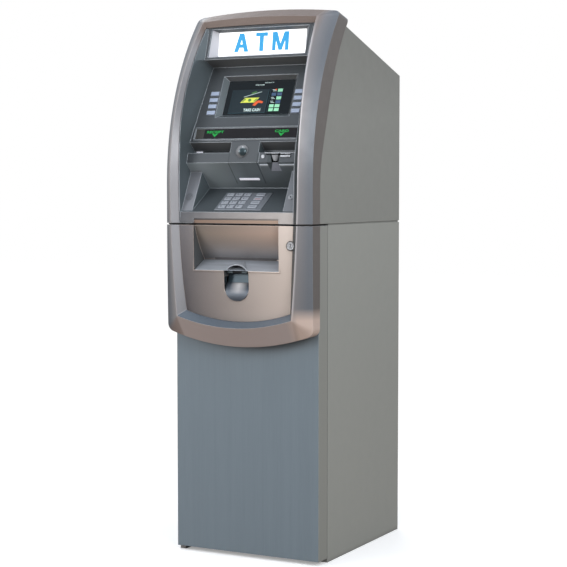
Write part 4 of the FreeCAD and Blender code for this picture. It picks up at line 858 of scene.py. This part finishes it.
# ------------------------------------------------------------------ floor, light, camera
def studio():
    mesh = bpy.data.meshes.new("floor")
    size = 12.0
    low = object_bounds()[0].z
    mesh.from_pydata([(x, y, low) for x, y in rect(-size, size, -size, size)], [], [(0, 1, 2, 3)])
    floor = bpy.data.objects.new("floor", mesh)
    bpy.context.scene.collection.objects.link(floor)
    p = Paint("floor_pale")
    ray = p.node("ShaderNodeLightPath").outputs["Is Camera Ray"]
    soft = p.mix(p.noise(3.0, 2.0), srgb(245, 245, 245), srgb(250, 250, 250))
    reach = p.node("ShaderNodeVectorMath", operation="LENGTH")
    p.feed(reach.inputs[0], p.object_space)
    away = p.span(reach.outputs["Value"], 0.45, 1.5)
    base = p.mix(ray, srgb(150, 138, 128), p.mix(away, soft, (0, 0, 0, 1)))
    p.set(color=base, rough=0.9, specular=0.0, glow=(1, 1, 1, 1),
          glow_power=p.calc("MULTIPLY", ray, p.span(away, 0.0, 1.0, 0.3, 1.05)))
    mesh.materials.append(p.mat)
    floor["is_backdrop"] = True

    world = bpy.data.worlds.new("studio")
    bpy.context.scene.world = world
    world.use_nodes = True
    tree = world.node_tree
    tree.nodes.clear()
    out = tree.nodes.new("ShaderNodeOutputWorld")
    seen = tree.nodes.new("ShaderNodeBackground")
    seen.inputs[0].default_value = (1, 1, 1, 1)
    seen.inputs[1].default_value = 1.0
    light = tree.nodes.new("ShaderNodeBackground")
    light.inputs[1].default_value = 0.8
    coord = tree.nodes.new("ShaderNodeTexCoord")
    split = tree.nodes.new("ShaderNodeSeparateXYZ")
    tree.links.new(coord.outputs["Generated"], split.inputs[0])
    spread = tree.nodes.new("ShaderNodeMapRange")
    spread.inputs[1].default_value = -1.0
    spread.inputs[2].default_value = 1.0
    tree.links.new(split.outputs[2], spread.inputs[0])
    band = tree.nodes.new("ShaderNodeValToRGB")
    stops = [(0.0, (0.36, 0.30, 0.26, 1)), (0.46, (0.62, 0.58, 0.55, 1)), (0.55, (0.95, 0.95, 0.96, 1)),
             (0.75, (0.72, 0.76, 0.82, 1)), (1.0, (0.45, 0.50, 0.58, 1))]
    while len(band.color_ramp.elements) < len(stops):
        band.color_ramp.elements.new(0.5)
    for element, (place, color) in zip(band.color_ramp.elements, stops):
        element.position = place
        element.color = color
    tree.links.new(spread.outputs[0], band.inputs[0])
    tree.links.new(band.outputs[0], light.inputs[0])
    choose = tree.nodes.new("ShaderNodeMixShader")
    path = tree.nodes.new("ShaderNodeLightPath")
    tree.links.new(path.outputs["Is Camera Ray"], choose.inputs[0])
    tree.links.new(light.outputs[0], choose.inputs[1])
    tree.links.new(seen.outputs[0], choose.inputs[2])
    tree.links.new(choose.outputs[0], out.inputs[0])

    for name, spot, target, size, power in (
            ("key", (3.4, -2.2, 2.3), (0, 0, 0.8), 1.6, 70.0),
            ("fill", (-2.6, -3.4, 1.9), (0, 0, 0.9), 2.0, 60.0),
            ("top", (0.2, -0.8, 3.6), (0, 0, 0.9), 1.6, 25.0),
            ("rear", (-2.0, 3.4, 2.2), (0, 0, 0.8), 2.0, 50.0)):
        lamp = bpy.data.lights.new(name, "AREA")
        lamp.size = size
        lamp.energy = power
        obj = bpy.data.objects.new(name, lamp)
        bpy.context.scene.collection.objects.link(obj)
        obj.location = spot
        obj.rotation_mode = "QUATERNION"
        obj.rotation_quaternion = (Vector(target) - Vector(spot)).to_track_quat("-Z", "Y")


def camera():
    data = bpy.data.cameras.new("camera")
    data.sensor_width = 36.0
    data.lens = data.sensor_width * FOCAL_PX / FRAME_PX
    obj = bpy.data.objects.new("camera", data)
    bpy.context.scene.collection.objects.link(obj)
    obj.location = (1.95403, -3.73352, 0.96414)
    obj.rotation_euler = (math.pi / 2 - 0.0624, 0, 0.4876)
    bpy.context.scene.camera = obj


make_paints()
dress_cad()
sign_letters()
screen_picture()
strip_marks()
key_marks()
speaker()
receipt_light()
note_curtain()
seam_gasket()
card_inlet()
creases()
note_brush()
studio()
camera()
bpy.context.scene.view_settings.view_transform = "Standard"
